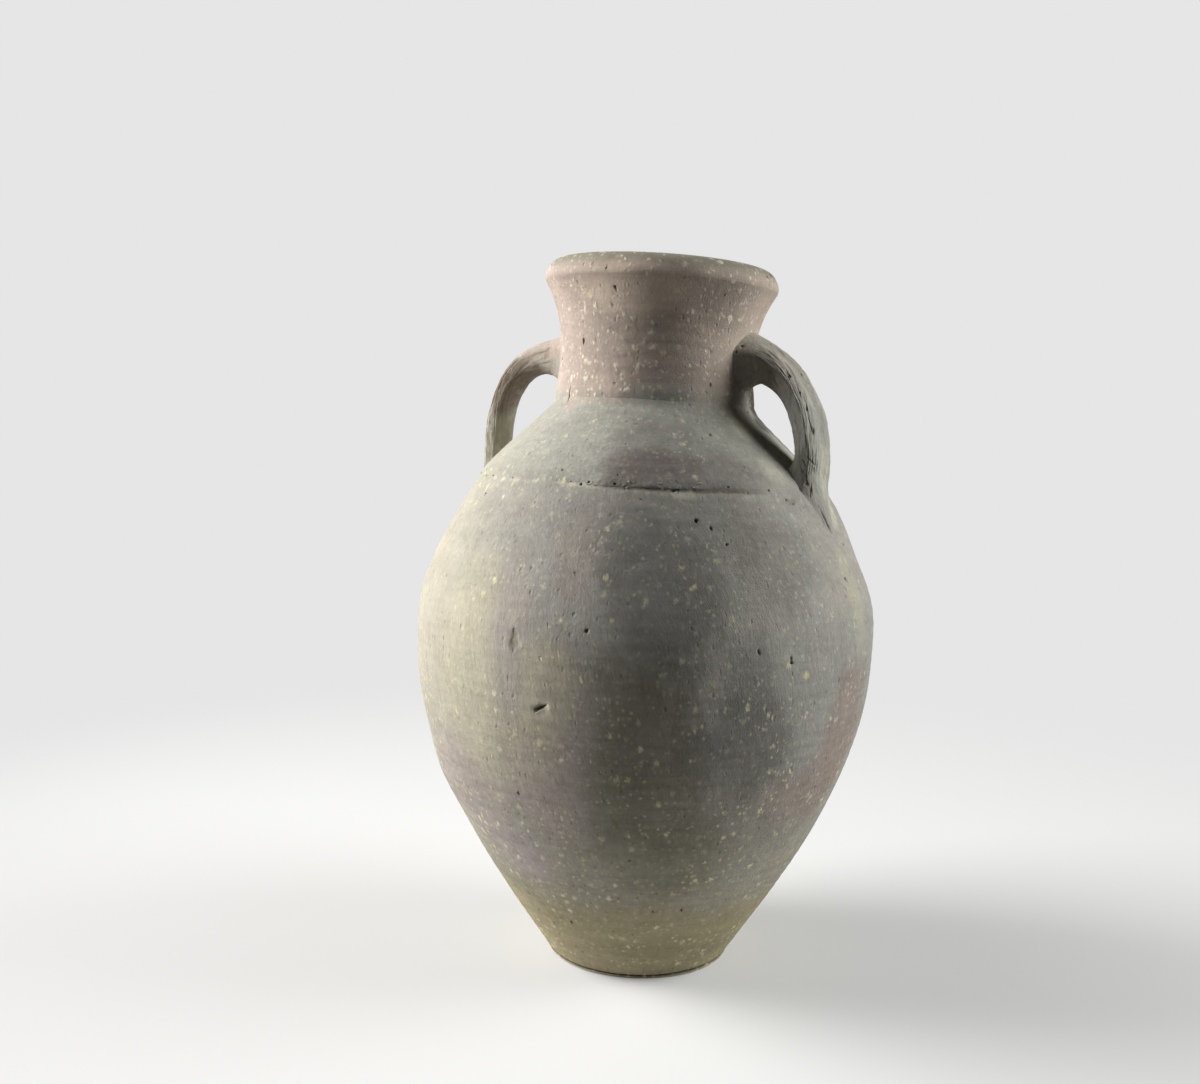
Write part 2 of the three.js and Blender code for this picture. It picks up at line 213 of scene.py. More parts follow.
# %% [markdown]
# ## Places in the wall
# A seam's step, a tongue and the inside all lie at some depth under the outside. They could be
# curves of their own, but then they'd drift off when the outside is changed. So a place in the wall
# is given by how far up the outside it lies and how deep in the clay.

# %% Places in the wall
def in_wall(way, depth):
    """A point of the wall, by how far up the outside it lies and how deep in the clay."""
    slope = outside.slope(way)
    inwards = np.stack([-slope[..., 1], slope[..., 0]], -1)
    return outside.point(way) + inwards * np.asarray(depth)[..., None]


def way_at_height(height, depth=0.0):
    """How far up the outside a height lies, for the skin at a depth."""
    line = in_wall(outside.ways, np.full(len(outside.ways), depth))
    return np.interp(height, line[:, 1], outside.ways)


def radius_at_height(height, depth=0.0):
    """How far from the axis the skin at a depth lies."""
    line = in_wall(outside.ways, np.full(len(outside.ways), depth))
    return np.interp(height, line[:, 1], line[:, 0])


shoulder_seam_way = way_at_height(SHOULDER_SEAM[1])
neck_seam_way = way_at_height(NECK_SEAM[1])
print(f"seams {shoulder_seam_way:.1f} and {neck_seam_way:.1f} mm up the wall")

# %% [markdown]
# ## The lean
# Soft clay gave way a little above the lower belly, so the jar bends over by three degrees while
# its foot stays flat. A Simple Deform modifier could bend it, but walls, handles and marks all have
# to bend alike, so the bend is written once as a rule for points. The planes of the seam and of the
# crest lean too, and are kept for the colours that follow them.

# %% The lean
def lean_over(points):
    """Upright points in millimetres, bent over as the jar leans."""
    heading = np.array([math.cos(LEAN_HEADING), math.sin(LEAN_HEADING)])
    height = points[..., 2]
    along = points[..., :2] @ heading
    angle = np.maximum(0, height - LEAN_START_MM) * LEAN_PER_MM
    leant = (1 - np.cos(angle)) / LEAN_PER_MM + along * np.cos(angle)
    raised = np.minimum(height, LEAN_START_MM) + np.sin(angle) / LEAN_PER_MM - along * np.sin(angle)
    level = points[..., :2] + (leant - along)[..., None] * heading
    return np.concatenate([level, raised[..., None]], -1)


seam_place = lean_over(np.array([0, 0, SHOULDER_SEAM[1]]))
seam_up = lean_over(np.array([0, 0, SHOULDER_SEAM[1] + 1])) - seam_place
crest_place = lean_over(np.array([0, 0, CREST[1]]))
crest_up = lean_over(np.array([0, 0, CREST[1] + 1])) - crest_place
print("middle of the crest:", np.round(crest_place, 1))

# %% [markdown]
# ## Nodes as expressions
# Both the walls and the clay are built from nodes. Adding and linking them one by one takes four
# lines for a sum and hides the formula. A thin class wraps a socket instead, so that a wall's lumps
# or a patch of colour can be written as sums and products. Every other node goes through one
# method.

# %% A socket with arithmetic
class Wire:
    """A socket of a node tree, with arithmetic."""

    def __init__(self, maker, socket):
        self.maker = maker
        self.socket = socket

    def is_vector(self):
        return self.socket.type in ("VECTOR", "RGBA")

    def joined(self, operation, first, second=None, output=0):
        pair = [value for value in (first, second) if value is not None]
        vector = any(isinstance(value, Wire) and value.is_vector() for value in pair)
        kind = "ShaderNodeVectorMath" if vector else "ShaderNodeMath"
        return self.maker.node(kind, {"operation": operation}, dict(enumerate(pair)), output)

    def __add__(self, other):
        return self.joined("ADD", self, other)

    __radd__ = __add__

    def __mul__(self, other):
        return self.joined("MULTIPLY", self, other)

    __rmul__ = __mul__

    def __sub__(self, other):
        return self.joined("SUBTRACT", self, other)

    def __rsub__(self, other):
        return self.joined("SUBTRACT", other, self)

    def __truediv__(self, other):
        return self.joined("DIVIDE", self, other)

    def __pow__(self, other):
        return self.joined("POWER", self, other)

    def at_least(self, other):
        return self.joined("MAXIMUM", self, other)

    def at_most(self, other):
        return self.joined("MINIMUM", self, other)

    def floor(self):
        return self.joined("FLOOR", self)

    def sine(self):
        return self.joined("SINE", self)

    def cosine(self):
        return self.joined("COSINE", self)

    def dot(self, other):
        return self.joined("DOT_PRODUCT", self, other, output=1)

    def cross(self, other):
        return self.joined("CROSS_PRODUCT", self, other)

    def length(self):
        return self.joined("LENGTH", self, output=1)

    def parts(self):
        split = self.maker.node("ShaderNodeSeparateXYZ", {}, {0: self}).socket.node
        return [Wire(self.maker, socket) for socket in split.outputs]

    def step(self, low, high):
        """0 below low, 1 above high, smooth between them."""
        inputs = {"Value": self, "From Min": low, "From Max": high}
        return self.maker.node("ShaderNodeMapRange", {"interpolation_type": "SMOOTHSTEP"}, inputs)

    def between(self, none, full):
        """A value that goes from none to full as this goes from 0 to 1."""
        return self * (full - none) + none


print("a wire knows:", [name for name in vars(Wire) if not name.startswith("_")])

# %% One method for every other node
class Maker:
    """Adds nodes to a tree."""

    def __init__(self, tree):
        self.tree = tree

    def node(self, kind, settings=None, inputs=None, output=0):
        """Adds a node: its settings first, then the values or links of its sockets."""
        made = self.tree.nodes.new(kind)
        for name, value in (settings or {}).items():
            setattr(made, name, value)
        for key, value in (inputs or {}).items():
            socket = made.inputs[key]
            if isinstance(value, Wire):
                self.tree.links.new(value.socket, socket)
            elif socket.type == "VECTOR" and isinstance(value, (int, float)):
                socket.default_value = (value,) * 3
            else:
                socket.default_value = value
        return Wire(self, made.outputs[output])

    def vector(self, x, y, z):
        return self.node("ShaderNodeCombineXYZ", {}, {0: x, 1: y, 2: z})

    def cloud(self, place, scale, detail=2.0, roughness=0.5):
        """Smooth noise from 0 to 1 at a number of lumps per metre."""
        inputs = {"Vector": place, "Scale": scale, "Detail": detail, "Roughness": roughness}
        return self.node("ShaderNodeTexNoise", {}, inputs)


print("a maker knows:", [name for name in vars(Maker) if not name.startswith("_")])

# %% [markdown]
# ## The clays
# A wall is given its clay as it is made, so the four clays are named now. They could be coloured at
# once, but their colours also follow pits, crumbs and seams that don't exist yet.

# %% Name the clays
CLAY_NAMES = ("foot_clay", "body_clay", "neck_clay", "handle_clay")
clays = {name: bpy.data.materials.new(name) for name in CLAY_NAMES}
print("clays:", sorted(clays))

# %% [markdown]
# ## Throwing a wall
# A wall grows on a turning wheel, so its shape follows a rule: one section, carried round the axis.
# A Screw modifier could turn it, but it can't tell the edge of a seam from the wall beside it. This
# node tree can. Its inputs are the sizes that differ from wall to wall.

# %% Inputs of the tree for a thrown wall
tree = bpy.data.node_groups.new("thrown_wall", "GeometryNodeTree")
make = Maker(tree)
entry = tree.nodes.new("NodeGroupInput")
tree.interface.new_socket("Wall", in_out="OUTPUT", socket_type="NodeSocketGeometry")


def take(name, kind, value=None):
    """Declares an input of the tree and gives its wire."""
    socket = tree.interface.new_socket(name, in_out="INPUT", socket_type=f"NodeSocket{kind}")
    if value is not None:
        socket.default_value = value
    return Wire(make, entry.outputs[name])


section = take("Section", "Object")
rows = take("Rows", "Int", 10)
columns = take("Columns", "Int", 32)
lump_height = take("Lump height", "Float", 0.6 * MM)
ring_height = take("Ring height", "Float", 0.09 * MM)
ring_pitch = take("Ring pitch", "Float", 7 * MM)
grit_height = take("Grit height", "Float", 0.12 * MM)
seam_openness = take("Seam openness", "Float", 0.0)
open_side = take("Open side", "Vector", (0.0, 0.0, 0.0))
crumb_density = take("Crumb density", "Float", 0.0)
crumb_size = take("Crumb size", "Float", 0.8 * MM)
seed = take("Seed", "Int", 1)
wall_clay = take("Clay", "Material")
print("inputs:", [item.name for item in tree.interface.items_tree if item.in_out == "INPUT"])

# %% [markdown]
# ## Turning the section
# The wall starts as a grid with a row for each point of the section and a column for each step
# round the wheel. Each grid point works out its row and column from its number, reads the section
# at that row, and is turned about the axis by its column.

# %% Turn the section
index = make.node("GeometryNodeInputIndex")
across_count = columns + 1
row = ((index + 0.5) / across_count).floor()
column = index - row * across_count
angle = column / columns * (2 * math.pi)
source = make.node(
    "GeometryNodeObjectInfo", {"transform_space": "ORIGINAL"}, {"Object": section}, 4
)


def read_section(value):
    """A value of the section's points, read at the row of each grid point."""
    inputs = {"Geometry": source, "Value": value, "Index": row}
    return make.node("GeometryNodeSampleIndex", {"data_type": "FLOAT_VECTOR"}, inputs)


def turn(vector):
    """A vector of the section, turned to its column."""
    inputs = {"Vector": vector, "Angle": angle}
    return make.node("ShaderNodeVectorRotate", {"rotation_type": "Z_AXIS"}, inputs)


def named(name, kind="FLOAT_VECTOR"):
    """A value that the mesh carries under a name."""
    return make.node("GeometryNodeInputNamedAttribute", {"data_type": kind}, {"Name": name})


upright = turn(read_section(make.node("GeometryNodeInputPosition")))
facing = turn(read_section(named("facing")))
sideways = turn(make.vector(0.0, 1.0, 0.0))
uphill = facing.cross(sideways)
touch, edge, way = read_section(named("touch")).parts()
print("to turn the section:", len(tree.nodes), "nodes")

# %% [markdown]
# ## The touch of the hand
# Wet fingers leave slow lumps and spiral rings, and coarse grit stands out of the skin. Bump in the
# material could hint at them, but on a real pot they show in its outline too, so they move the
# grid. The section's value called touch takes them away from hidden laps.

# %% The touch of the hand
shifted = upright + seed * 1.7
slow = make.cloud(shifted, 26, 2.0) - 0.5
broad = make.cloud(shifted + 5, 9, 1.0) - 0.5
wobble = make.cloud(shifted, 14, 1.0)
finger = (way / ring_pitch * (2 * math.pi) + angle + wobble * 9).sine()
pressed = make.cloud(shifted + 3, 20, 1.0).step(0.35, 0.65)
coarse = make.cloud(shifted, 260, 3.0, 0.6) - 0.5
drawn = make.cloud(upright * (1, 1, 0.3) + seed, 420, 2.0) - 0.5
swell = (slow * 1.2 + broad * 2.0) * lump_height
lift = (swell + finger * pressed * ring_height + (coarse * 2 + drawn) * grit_height) * touch
print("with the touch of the hand:", len(tree.nodes), "nodes")

# %% [markdown]
# ## A ragged edge
# The lower edge of a wall is smeared over the member below in some places and left open in others.
# A tear could be modelled once and repeated, but the eye finds the repeats. So one noise decides
# how open the edge is, wider on one side, and a rougher one tears it. The section's value called
# edge keeps both near the edge.

# %% A ragged edge
opened = make.vector(angle.cosine(), angle.sine(), 0.0).dot(open_side).step(0.94, 0.975) * 0.3
gaping = make.cloud(shifted + 8, 30, 3.0, 0.6) - 0.5 + seam_openness * 0.5 + opened
openness = gaping.step(-0.12, 0.2)
torn = make.cloud(shifted, 190, 4.0, 0.85) - 0.5
edge_lift = openness.between(-0.5 * MM, 0.5 * MM) + torn * openness.between(1.2 * MM, 3.4 * MM)
edge_slide = openness.between(-3.0 * MM, -0.6 * MM) + torn * (8.0 * MM)
formed = upright + facing * (lift + edge_lift * edge) + uphill * (edge_slide * edge)
print("with the ragged edge:", len(tree.nodes), "nodes")

# %% [markdown]
# ## Leaning and closing the wall
# The wall bends over with the rest of the jar, by the same rule as the points above, now written in
# nodes. Then the grid takes its place, its first and last columns are merged into a closed wall,
# and the seam's band is kept on it as a value.

# %% Lean and close the wall
heading = (math.cos(LEAN_HEADING), math.sin(LEAN_HEADING), 0.0)
bend = LEAN_PER_MM / MM
height = formed.parts()[2]
along = formed.dot(heading)
lean_angle = (height - LEAN_START_MM * MM).at_least(0.0) * bend
leant = (1 - lean_angle.cosine()) / bend + along * lean_angle.cosine()
raised = height.at_most(LEAN_START_MM * MM) + lean_angle.sine() / bend - along * lean_angle.sine()
leaned = formed + make.vector(0.0, 0.0, raised - height) + (leant - along) * make.vector(*heading)

grid = make.node("GeometryNodeMeshGrid", {}, {"Vertices X": rows, "Vertices Y": across_count})
seam_band = {"Geometry": grid, "Name": "seam", "Value": edge * openness.at_least(0.4)}
banded = make.node("GeometryNodeStoreNamedAttribute", {"data_type": "FLOAT"}, seam_band)
placed = make.node("GeometryNodeSetPosition", {}, {"Geometry": banded, "Position": leaned})
closed = make.node("GeometryNodeMergeByDistance", {}, {"Geometry": placed, "Distance": 0.01 * MM})
wall = make.node("GeometryNodeFlipFaces", {}, {"Mesh": closed})
print("with the lean:", len(tree.nodes), "nodes")

# %% [markdown]
# ## Crumbs of clay
# Nobody cleaned the open edge, so crumbs stay stuck along it. Hundreds of them placed by hand would
# never look careless, so they are scattered over the seam's band: small balls, squashed, turned and
# torn by a noise. They carry a value of their own, which makes them paler. The tree ends in Realize
# Instances and Set Material, because an export drops instances.

# %% Crumbs, and the end of the tree
CRUMB_LEAST = (0.35, 0.35, 0.3)
CRUMB_MOST = (1.25, 1.0, 0.9)
CRUMB_TEAR_MM = 1.1
CRUMB_TEARS_PER_METRE = 900.0

scattered = make.node(
    "GeometryNodeDistributePointsOnFaces", {"distribute_method": "RANDOM"},
    {"Mesh": wall, "Density": crumb_density * named("seam", "FLOAT").step(0.1, 0.4), "Seed": seed},
)
crumb = make.node("GeometryNodeMeshIcoSphere", {}, {"Radius": 1.0, "Subdivisions": 2})
sizes = make.node(
    "FunctionNodeRandomValue", {"data_type": "FLOAT_VECTOR"},
    {"Min": CRUMB_LEAST, "Max": CRUMB_MOST, "Seed": seed},
)
turns = make.node(
    "FunctionNodeRandomValue", {"data_type": "FLOAT_VECTOR"},
    {"Min": (-0.5, -0.5, 0.0), "Max": (0.5, 0.5, 6.28), "Seed": seed + 1},
)
crumbs = make.node(
    "GeometryNodeInstanceOnPoints", {},
    {"Points": scattered, "Instance": crumb, "Rotation": turns, "Scale": sizes * crumb_size},
)
loose = make.node("GeometryNodeRealizeInstances", {}, {"Geometry": crumbs})
spot = make.node("GeometryNodeInputPosition")
tear = make.node("ShaderNodeTexNoise", {}, {"Vector": spot, "Scale": CRUMB_TEARS_PER_METRE}, 1)
ragged = (tear - 0.5) * (CRUMB_TEAR_MM * MM)
torn_loose = make.node("GeometryNodeSetPosition", {}, {"Geometry": loose, "Offset": ragged})
torn_crumbs = make.node(
    "GeometryNodeStoreNamedAttribute", {"data_type": "FLOAT"},
    {"Geometry": torn_loose, "Name": "crumb", "Value": 1.0},
)
together = make.node("GeometryNodeJoinGeometry", {}, {"Geometry": wall})
tree.links.new(torn_crumbs.socket, together.socket.node.inputs[0])
smooth = make.node("GeometryNodeSetShadeSmooth", {}, {"Geometry": together})
whole = make.node("GeometryNodeRealizeInstances", {}, {"Geometry": smooth})
finished = make.node("GeometryNodeSetMaterial", {}, {"Geometry": whole, "Material": wall_clay})
leave = tree.nodes.new("NodeGroupOutput")
tree.links.new(finished.socket, leave.inputs[0])
print("thrown_wall:", len(tree.nodes), "nodes")

# %% [markdown]
# ## From a section to a member
# A section is a list of runs: outside, over a step or a lip, and down the inside. It could be drawn
# as a curve, but each of its points also says how much of the hand's touch shows there and how far
# it takes part in a ragged edge. So a run is rows of numbers, worked out from places in the wall.

# %% Runs of a section
EDGE_REACH_MM = 7.0
LAP_MM = 4.0
LAP_PITCH_MM = 0.6
JOINT_RISE_MM = 3.4


def run(points, touch=0.0, edge=None):
    """One run of a section, as rows of radius, height, touch and edge."""
    points = np.asarray(points, float)
    edge = np.zeros(len(points)) if edge is None else edge
    return np.column_stack([points, np.full(len(points), touch), edge])


def wall_run(start, end, depth, pitch, touch=0.0):
    """A run at one depth of the wall."""
    count = max(2, round(abs(end - start) / pitch) + 1)
    return run(in_wall(np.linspace(start, end, count), np.full(count, depth)), touch)


def tucked(joint):
    """The top of a wall's outside, where it dips under the thin lap of the wall above."""
    ways = joint - np.array([LAP_MM + 0.4, 3.0, 1.8, 0.7, 0.0])
    return run(in_wall(ways, np.array([0.0, 0.2, 0.5, 0.75, 0.9])), 1.0)


def lap_edge(ways, joint):
    """How far a lap takes part in the ragged movement of its edge."""
    return np.clip(1 - (ways - joint + LAP_MM) / EDGE_REACH_MM, 0, 1) ** 1.5


def lapped(joint, end, pitch):
    """The outside of a wall, from the thin edge that laps over the wall below."""
    fine = np.arange(-LAP_MM, EDGE_REACH_MM - LAP_MM, LAP_PITCH_MM)
    ways = joint + np.concatenate([fine, np.arange(fine[-1] + pitch, end - joint, pitch)])
    depth = np.interp(ways - joint, [-LAP_MM, -2.6, 0, 4, 10], [0.05, -0.16, -0.26, -0.16, 0.0])
    return run(in_wall(ways, depth), 1.0, lap_edge(ways, joint))


def under_lap(joint):
    """The underside of that lap, back out to its thin edge."""
    ways = joint - np.array([0.3, 1.4, 2.6, LAP_MM - 0.15])
    return run(in_wall(ways, np.array([1.1, 0.85, 0.6, 0.4])), 0.0, lap_edge(ways, joint))


def smooth_run(control, count, touch=0.0):
    """A run along a curve of its own, as over a lip."""
    return run(points_along(control, count), touch)


print("a lap's edge takes part by", np.round(lap_edge(np.array([-4.0, -2.0, 0.0, 2.0]), 0.0), 2))

# %% [markdown]
# ## Throwing a section
# The tree reads the section from an object. A spreadsheet of values can't be put in a modifier, but
# a mesh of loose points with attributes can. After the modifier has run, its result is taken as a
# plain mesh and the section is thrown away, so the member stands on its own.

# %% Throw a section
def section_object(name, runs, closed=True):
    """The section's points as a mesh of loose points, with the values that the tree reads."""
    rows = np.concatenate(runs)
    gaps = np.linalg.norm(np.diff(rows[:, :2], axis=0), axis=1)
    rows = rows[np.concatenate([[True], gaps > 1e-6])]
    if closed:
        rows = np.concatenate([rows, rows[:1]])
    plane = rows[:, :2]
    before = np.roll(plane[:-1], 1, axis=0) if closed else np.concatenate([plane[:1], plane[:-2]])
    ahead = plane[1:]
    heading = ahead - before
    heading = np.concatenate([heading, heading[:1] if closed else heading[-1:]])
    heading /= np.linalg.norm(heading, axis=1)[:, None]
    steps = np.linalg.norm(np.diff(plane, axis=0), axis=1)
    ways = np.concatenate([[0], np.cumsum(steps)])
    nothing = np.zeros(len(rows))
    mesh = bpy.data.meshes.new(name)
    mesh.from_pydata(np.column_stack([plane[:, 0], nothing, plane[:, 1]]) * MM, [], [])
    facing = mesh.attributes.new("facing", "FLOAT_VECTOR", "POINT")
    outwards = np.column_stack([heading[:, 1], nothing, -heading[:, 0]])
    facing.data.foreach_set("vector", outwards.ravel())
    touch = mesh.attributes.new("touch", "FLOAT_VECTOR", "POINT")
    touch.data.foreach_set("vector", np.column_stack([rows[:, 2:4], ways * MM]).ravel())
    return bpy.data.objects.new(name, mesh), len(rows)


def thrown(name, clay, runs, columns, closed=True, **values):
    """A member made by the tree and kept as a plain mesh."""
    section, row_count = section_object(f"{name}_section", runs, closed)
    member = bpy.data.objects.new(name, bpy.data.meshes.new(name))
    scene.collection.objects.link(member)
    scene.collection.objects.link(section)
    modifier = member.modifiers.new("thrown", "NODES")
    modifier.node_group = tree
    values = {"Section": section, "Rows": row_count, "Columns": columns, "Clay": clay, **values}
    for socket in tree.interface.items_tree:
        if socket.in_out == "INPUT" and socket.name in values:
            modifier[socket.identifier] = values[socket.name]
    bpy.context.view_layer.update()
    member.data = bpy.data.meshes.new_from_object(
        member.evaluated_get(bpy.context.evaluated_depsgraph_get())
    )
    member.modifiers.clear()
    bpy.data.objects.remove(section)
    return member


def read_points(mesh):
    """The mesh's points as rows of numbers."""
    points = np.empty(len(mesh.vertices) * 3)
    mesh.vertices.foreach_get("co", points)
    return points.reshape(-1, 3)


def tell(member):
    """Prints how fine a member is and how wide and high it came out."""
    reach = np.ptp(read_points(member.data), axis=0) / MM
    size = " x ".join(f"{value:.1f}" for value in reach)
    print(f"{member.name}: {len(member.data.polygons)} faces, {size} mm")


print("ready to throw with", len(tree.nodes), "nodes")

# %% [markdown]
# ## The slab
# The jar stands on a slab that was rolled out and cut round. Its middle fills the hole of the lower
# wall, and only a thin worn edge shows. A bevelled cylinder would be too even for it, so it is
# thrown by the same tree as the walls, from an open section that starts and ends on the axis.

# %% Slab
SLAB_BEVEL_MM = 1.0
slab_radius = FOOT[0] - WALL_MM
hole_radius = slab_radius + SLIP_MM
slab_heights = np.array([0.35, 0.8, 1.3, 1.7, 2.05, 2.3, SLAB_EDGE_MM])
slab_depths = np.array([0.3, -0.2, -0.45, -0.45, -0.2, 0.4, 1.3])

foot_slab = thrown(
    "foot_slab", clays["foot_clay"],
    [
        run([(0, 0), (30, 0), (45, 0), (FOOT[0] - SLAB_BEVEL_MM, 0)]),
        run(in_wall(way_at_height(slab_heights), slab_depths), 1.0),
        run([(slab_radius, SLAB_EDGE_MM), (slab_radius, FLOOR_MM - 0.5)]),
        run([(slab_radius - 0.5, FLOOR_MM), (25, FLOOR_MM), (0, FLOOR_MM)]),
    ],
    columns=288, closed=False,
    **{"Lump height": 0.7 * MM, "Ring height": 0.0, "Grit height": 0.3 * MM, "Seed": 5},
)
tell(foot_slab)

# %% [markdown]
# ## The lower wall
# The lower wall runs from the slab to the first seam. Potters cut its top down to a tongue that the
# next part laps over, so it isn't simply a shell given thickness by a Solidify modifier: its
# section goes up the outside, dips under the lap, steps in to the tongue, and comes down the inside
# to the heel. Just above the slab its skin is a little worn.

# %% Lower wall
HEEL_RISE_MM = 13.0
COIL_HALF_MM = 11.0
OUTSIDE_PITCH_MM = 1.75
worn_ways = np.array([0.0, 0.3, 0.8, 1.5])
worn_depths = np.array([1.3, 0.6, 0.2, 0.05])

heel_way = way_at_height(FLOOR_MM + HEEL_RISE_MM, WALL_MM)
heel_top = in_wall(heel_way, WALL_MM)
heel_lean = in_wall(heel_way + 1, WALL_MM) - heel_top
heel_turn = np.array([heel_top[0] - HEEL_RISE_MM * heel_lean[0] / heel_lean[1], FLOOR_MM])
heel_end = np.array([hole_radius, FLOOR_MM])
heel = [heel_top, (heel_top + 2 * heel_turn) / 3, (heel_end + 2 * heel_turn) / 3, heel_end]
coil_bottom = shoulder_seam_way + SEAM_STEP_MM - COIL_HALF_MM
shoulder_joint = shoulder_seam_way + JOINT_RISE_MM
tongue_top = shoulder_seam_way + SEAM_STEP_MM
lower_start = way_at_height(SLAB_EDGE_MM + SLIP_MM)

lower_wall = thrown(
    "lower_wall", clays["body_clay"],
    [
        run(in_wall(lower_start + worn_ways, worn_depths), 1.0),
        wall_run(lower_start + 2.5, shoulder_joint - LAP_MM - 1.5, 0.0, OUTSIDE_PITCH_MM, 1.0),
        tucked(shoulder_joint),
        wall_run(shoulder_joint, tongue_top, WALL_MM / 2, 3.0),
        wall_run(tongue_top, coil_bottom, WALL_MM, 4.0),
        wall_run(coil_bottom, heel_way, WALL_MM, 9.0, 0.7),
        smooth_run(heel, 5, 0.4),
        run([(hole_radius, SLAB_EDGE_MM + SLIP_MM)]),
    ],
    columns=372, **{"Seed": 1},
)
tell(lower_wall)

# %% [markdown]
# ## The shoulder
# The second thrown part is lapped over the tongue. The potter smeared its lower edge down with a
# thumb, left it open in places, and never cleaned off the crumbs: this is the ragged line of the
# photograph. A dark line painted on one wall would look flat from the side, so the lap is a thin
# lip of clay with an underside of its own. It is widest open on the side that a pixel gives.

# %% Shoulder
shoulder_socket = shoulder_seam_way + SEAM_STEP_MM + SLIP_MM
shoulder_coil_top = shoulder_seam_way + SEAM_STEP_MM + COIL_HALF_MM
neck_coil_bottom = neck_seam_way + SEAM_STEP_MM - COIL_HALF_MM
shoulder_edge = shoulder_joint + SLIP_MM
neck_joint = neck_seam_way + JOINT_RISE_MM
WIDEST_OPENING = (638, 487)
open_place = on_clay(*WIDEST_OPENING)[0]

shoulder_wall = thrown(
    "shoulder_wall", clays["body_clay"],
    [
        lapped(shoulder_joint, neck_joint - LAP_MM - 1.0, 1.1),
        tucked(neck_joint),
        wall_run(neck_joint, neck_seam_way + SEAM_STEP_MM, WALL_MM / 2, 3.0),
        wall_run(neck_seam_way + SEAM_STEP_MM, neck_coil_bottom, WALL_MM, 4.0),
        wall_run(neck_coil_bottom, shoulder_coil_top, WALL_MM, 5.0, 0.5),
        wall_run(shoulder_coil_top, shoulder_socket, WALL_MM, 4.0),
        wall_run(shoulder_socket, shoulder_edge, WALL_MM / 2 - SLIP_MM, 3.0),
        under_lap(shoulder_joint),
    ],
    columns=600,
    **{
        "Seed": 1, "Seam openness": -0.2, "Crumb density": 50000.0, "Crumb size": 0.8 * MM,
        "Open side": tuple(Vector((open_place.x, open_place.y, 0)).normalized()),
    },
)
tell(shoulder_wall)

# %% [markdown]
# ## The neck and its rolled lip
# The neck was thrown last, of a redder batch of clay. Its lip was folded out and rolled under wet
# leather, so its crest is the smoothest part of the jar, and the hand's touch fades over it row by
# row. A torus set on the neck would show a join. Here the lip is part of the section, and the lower
# edge is wiped closed over the shoulder.

# %% Neck
THROAT_MM = 30.0
LIP_ROUND_MM = 2.4
throat_way = neck_seam_way + THROAT_MM
neck_socket = neck_seam_way + SEAM_STEP_MM + SLIP_MM
neck_coil_top = neck_seam_way + SEAM_STEP_MM + COIL_HALF_MM
neck_edge = neck_joint + SLIP_MM
lip = stretch(in_wall(outside.length - LIP_ROUND_MM, 0.0), 29, 4.6, CREST, -90, 5.0)

neck_wall = thrown(
    "neck_wall", clays["neck_clay"],
    [
        lapped(neck_joint, outside.length - LIP_ROUND_MM, 1.0),
        smooth_run(lip, 24, np.linspace(1.0, 0.45, 24)),
        smooth_run(stretch(CREST, -90, 2.4, MOUTH_EDGE, 180, 2), 10, 0.45),
        smooth_run(stretch(MOUTH_EDGE, 180, 14, in_wall(throat_way, WALL_MM), 180, 12), 22, 0.8),
        wall_run(throat_way, neck_coil_top, WALL_MM, 3.0, 0.5),
        wall_run(neck_coil_top, neck_socket, WALL_MM, 4.0),
        wall_run(neck_socket, neck_edge, WALL_MM / 2 - SLIP_MM, 3.0),
        under_lap(neck_joint),
    ],
    columns=400, **{"Seed": 1, "Seam openness": -0.9, "Ring height": 0.07 * MM},
)
tell(neck_wall)

# %% [markdown]
# ## The inside coils
# Each seam is closed on the inside with a coil of clay, pressed flat over it with the fingers. A
# torus would stay round and even, so the coil is a low bulge that follows the inner wall, thrown by
# the tree.

# %% Coils
COIL_THICKNESS_MM = 4.5
COIL_STEPS = 12


def seam_coil(name, clay, seam_way, seed):
    """A coil over the inside of a seam, centred on the top of the tongue."""
    middle = seam_way + SEAM_STEP_MM
    back = WALL_MM + SLIP_MM
    across = np.cos(np.linspace(0, math.pi, COIL_STEPS + 1))[1:-1]
    bulge = back + COIL_THICKNESS_MM * np.sqrt(1 - across**2)
    return thrown(
        name, clay,
        [
            wall_run(middle - COIL_HALF_MM, middle + COIL_HALF_MM, back, 4.0),
            run(in_wall(middle + COIL_HALF_MM * across, bulge), 1.0),
        ],
        columns=240, **{"Seed": seed, "Ring height": 0.0, "Lump height": 0.7 * MM},
    )


shoulder_inside_coil = seam_coil("shoulder_inside_coil", clays["body_clay"], shoulder_seam_way, 3)
neck_inside_coil = seam_coil("neck_inside_coil", clays["neck_clay"], neck_seam_way, 4)
tell(shoulder_inside_coil)
tell(neck_inside_coil)

# %% [markdown]
# ## Swellings, pits and chips
# The belly isn't perfectly round: it swells where the photograph's outline shows it. Grit tore out
# of the clay when it was turned, which left pits. They could be sculpted, but a sculpt can't be
# written down, or cut with a Boolean, but that leaves ragged faces. Here a mark is a place, a size
# across and along the wall, a depth and how flat its bottom is, and the points near it are moved.

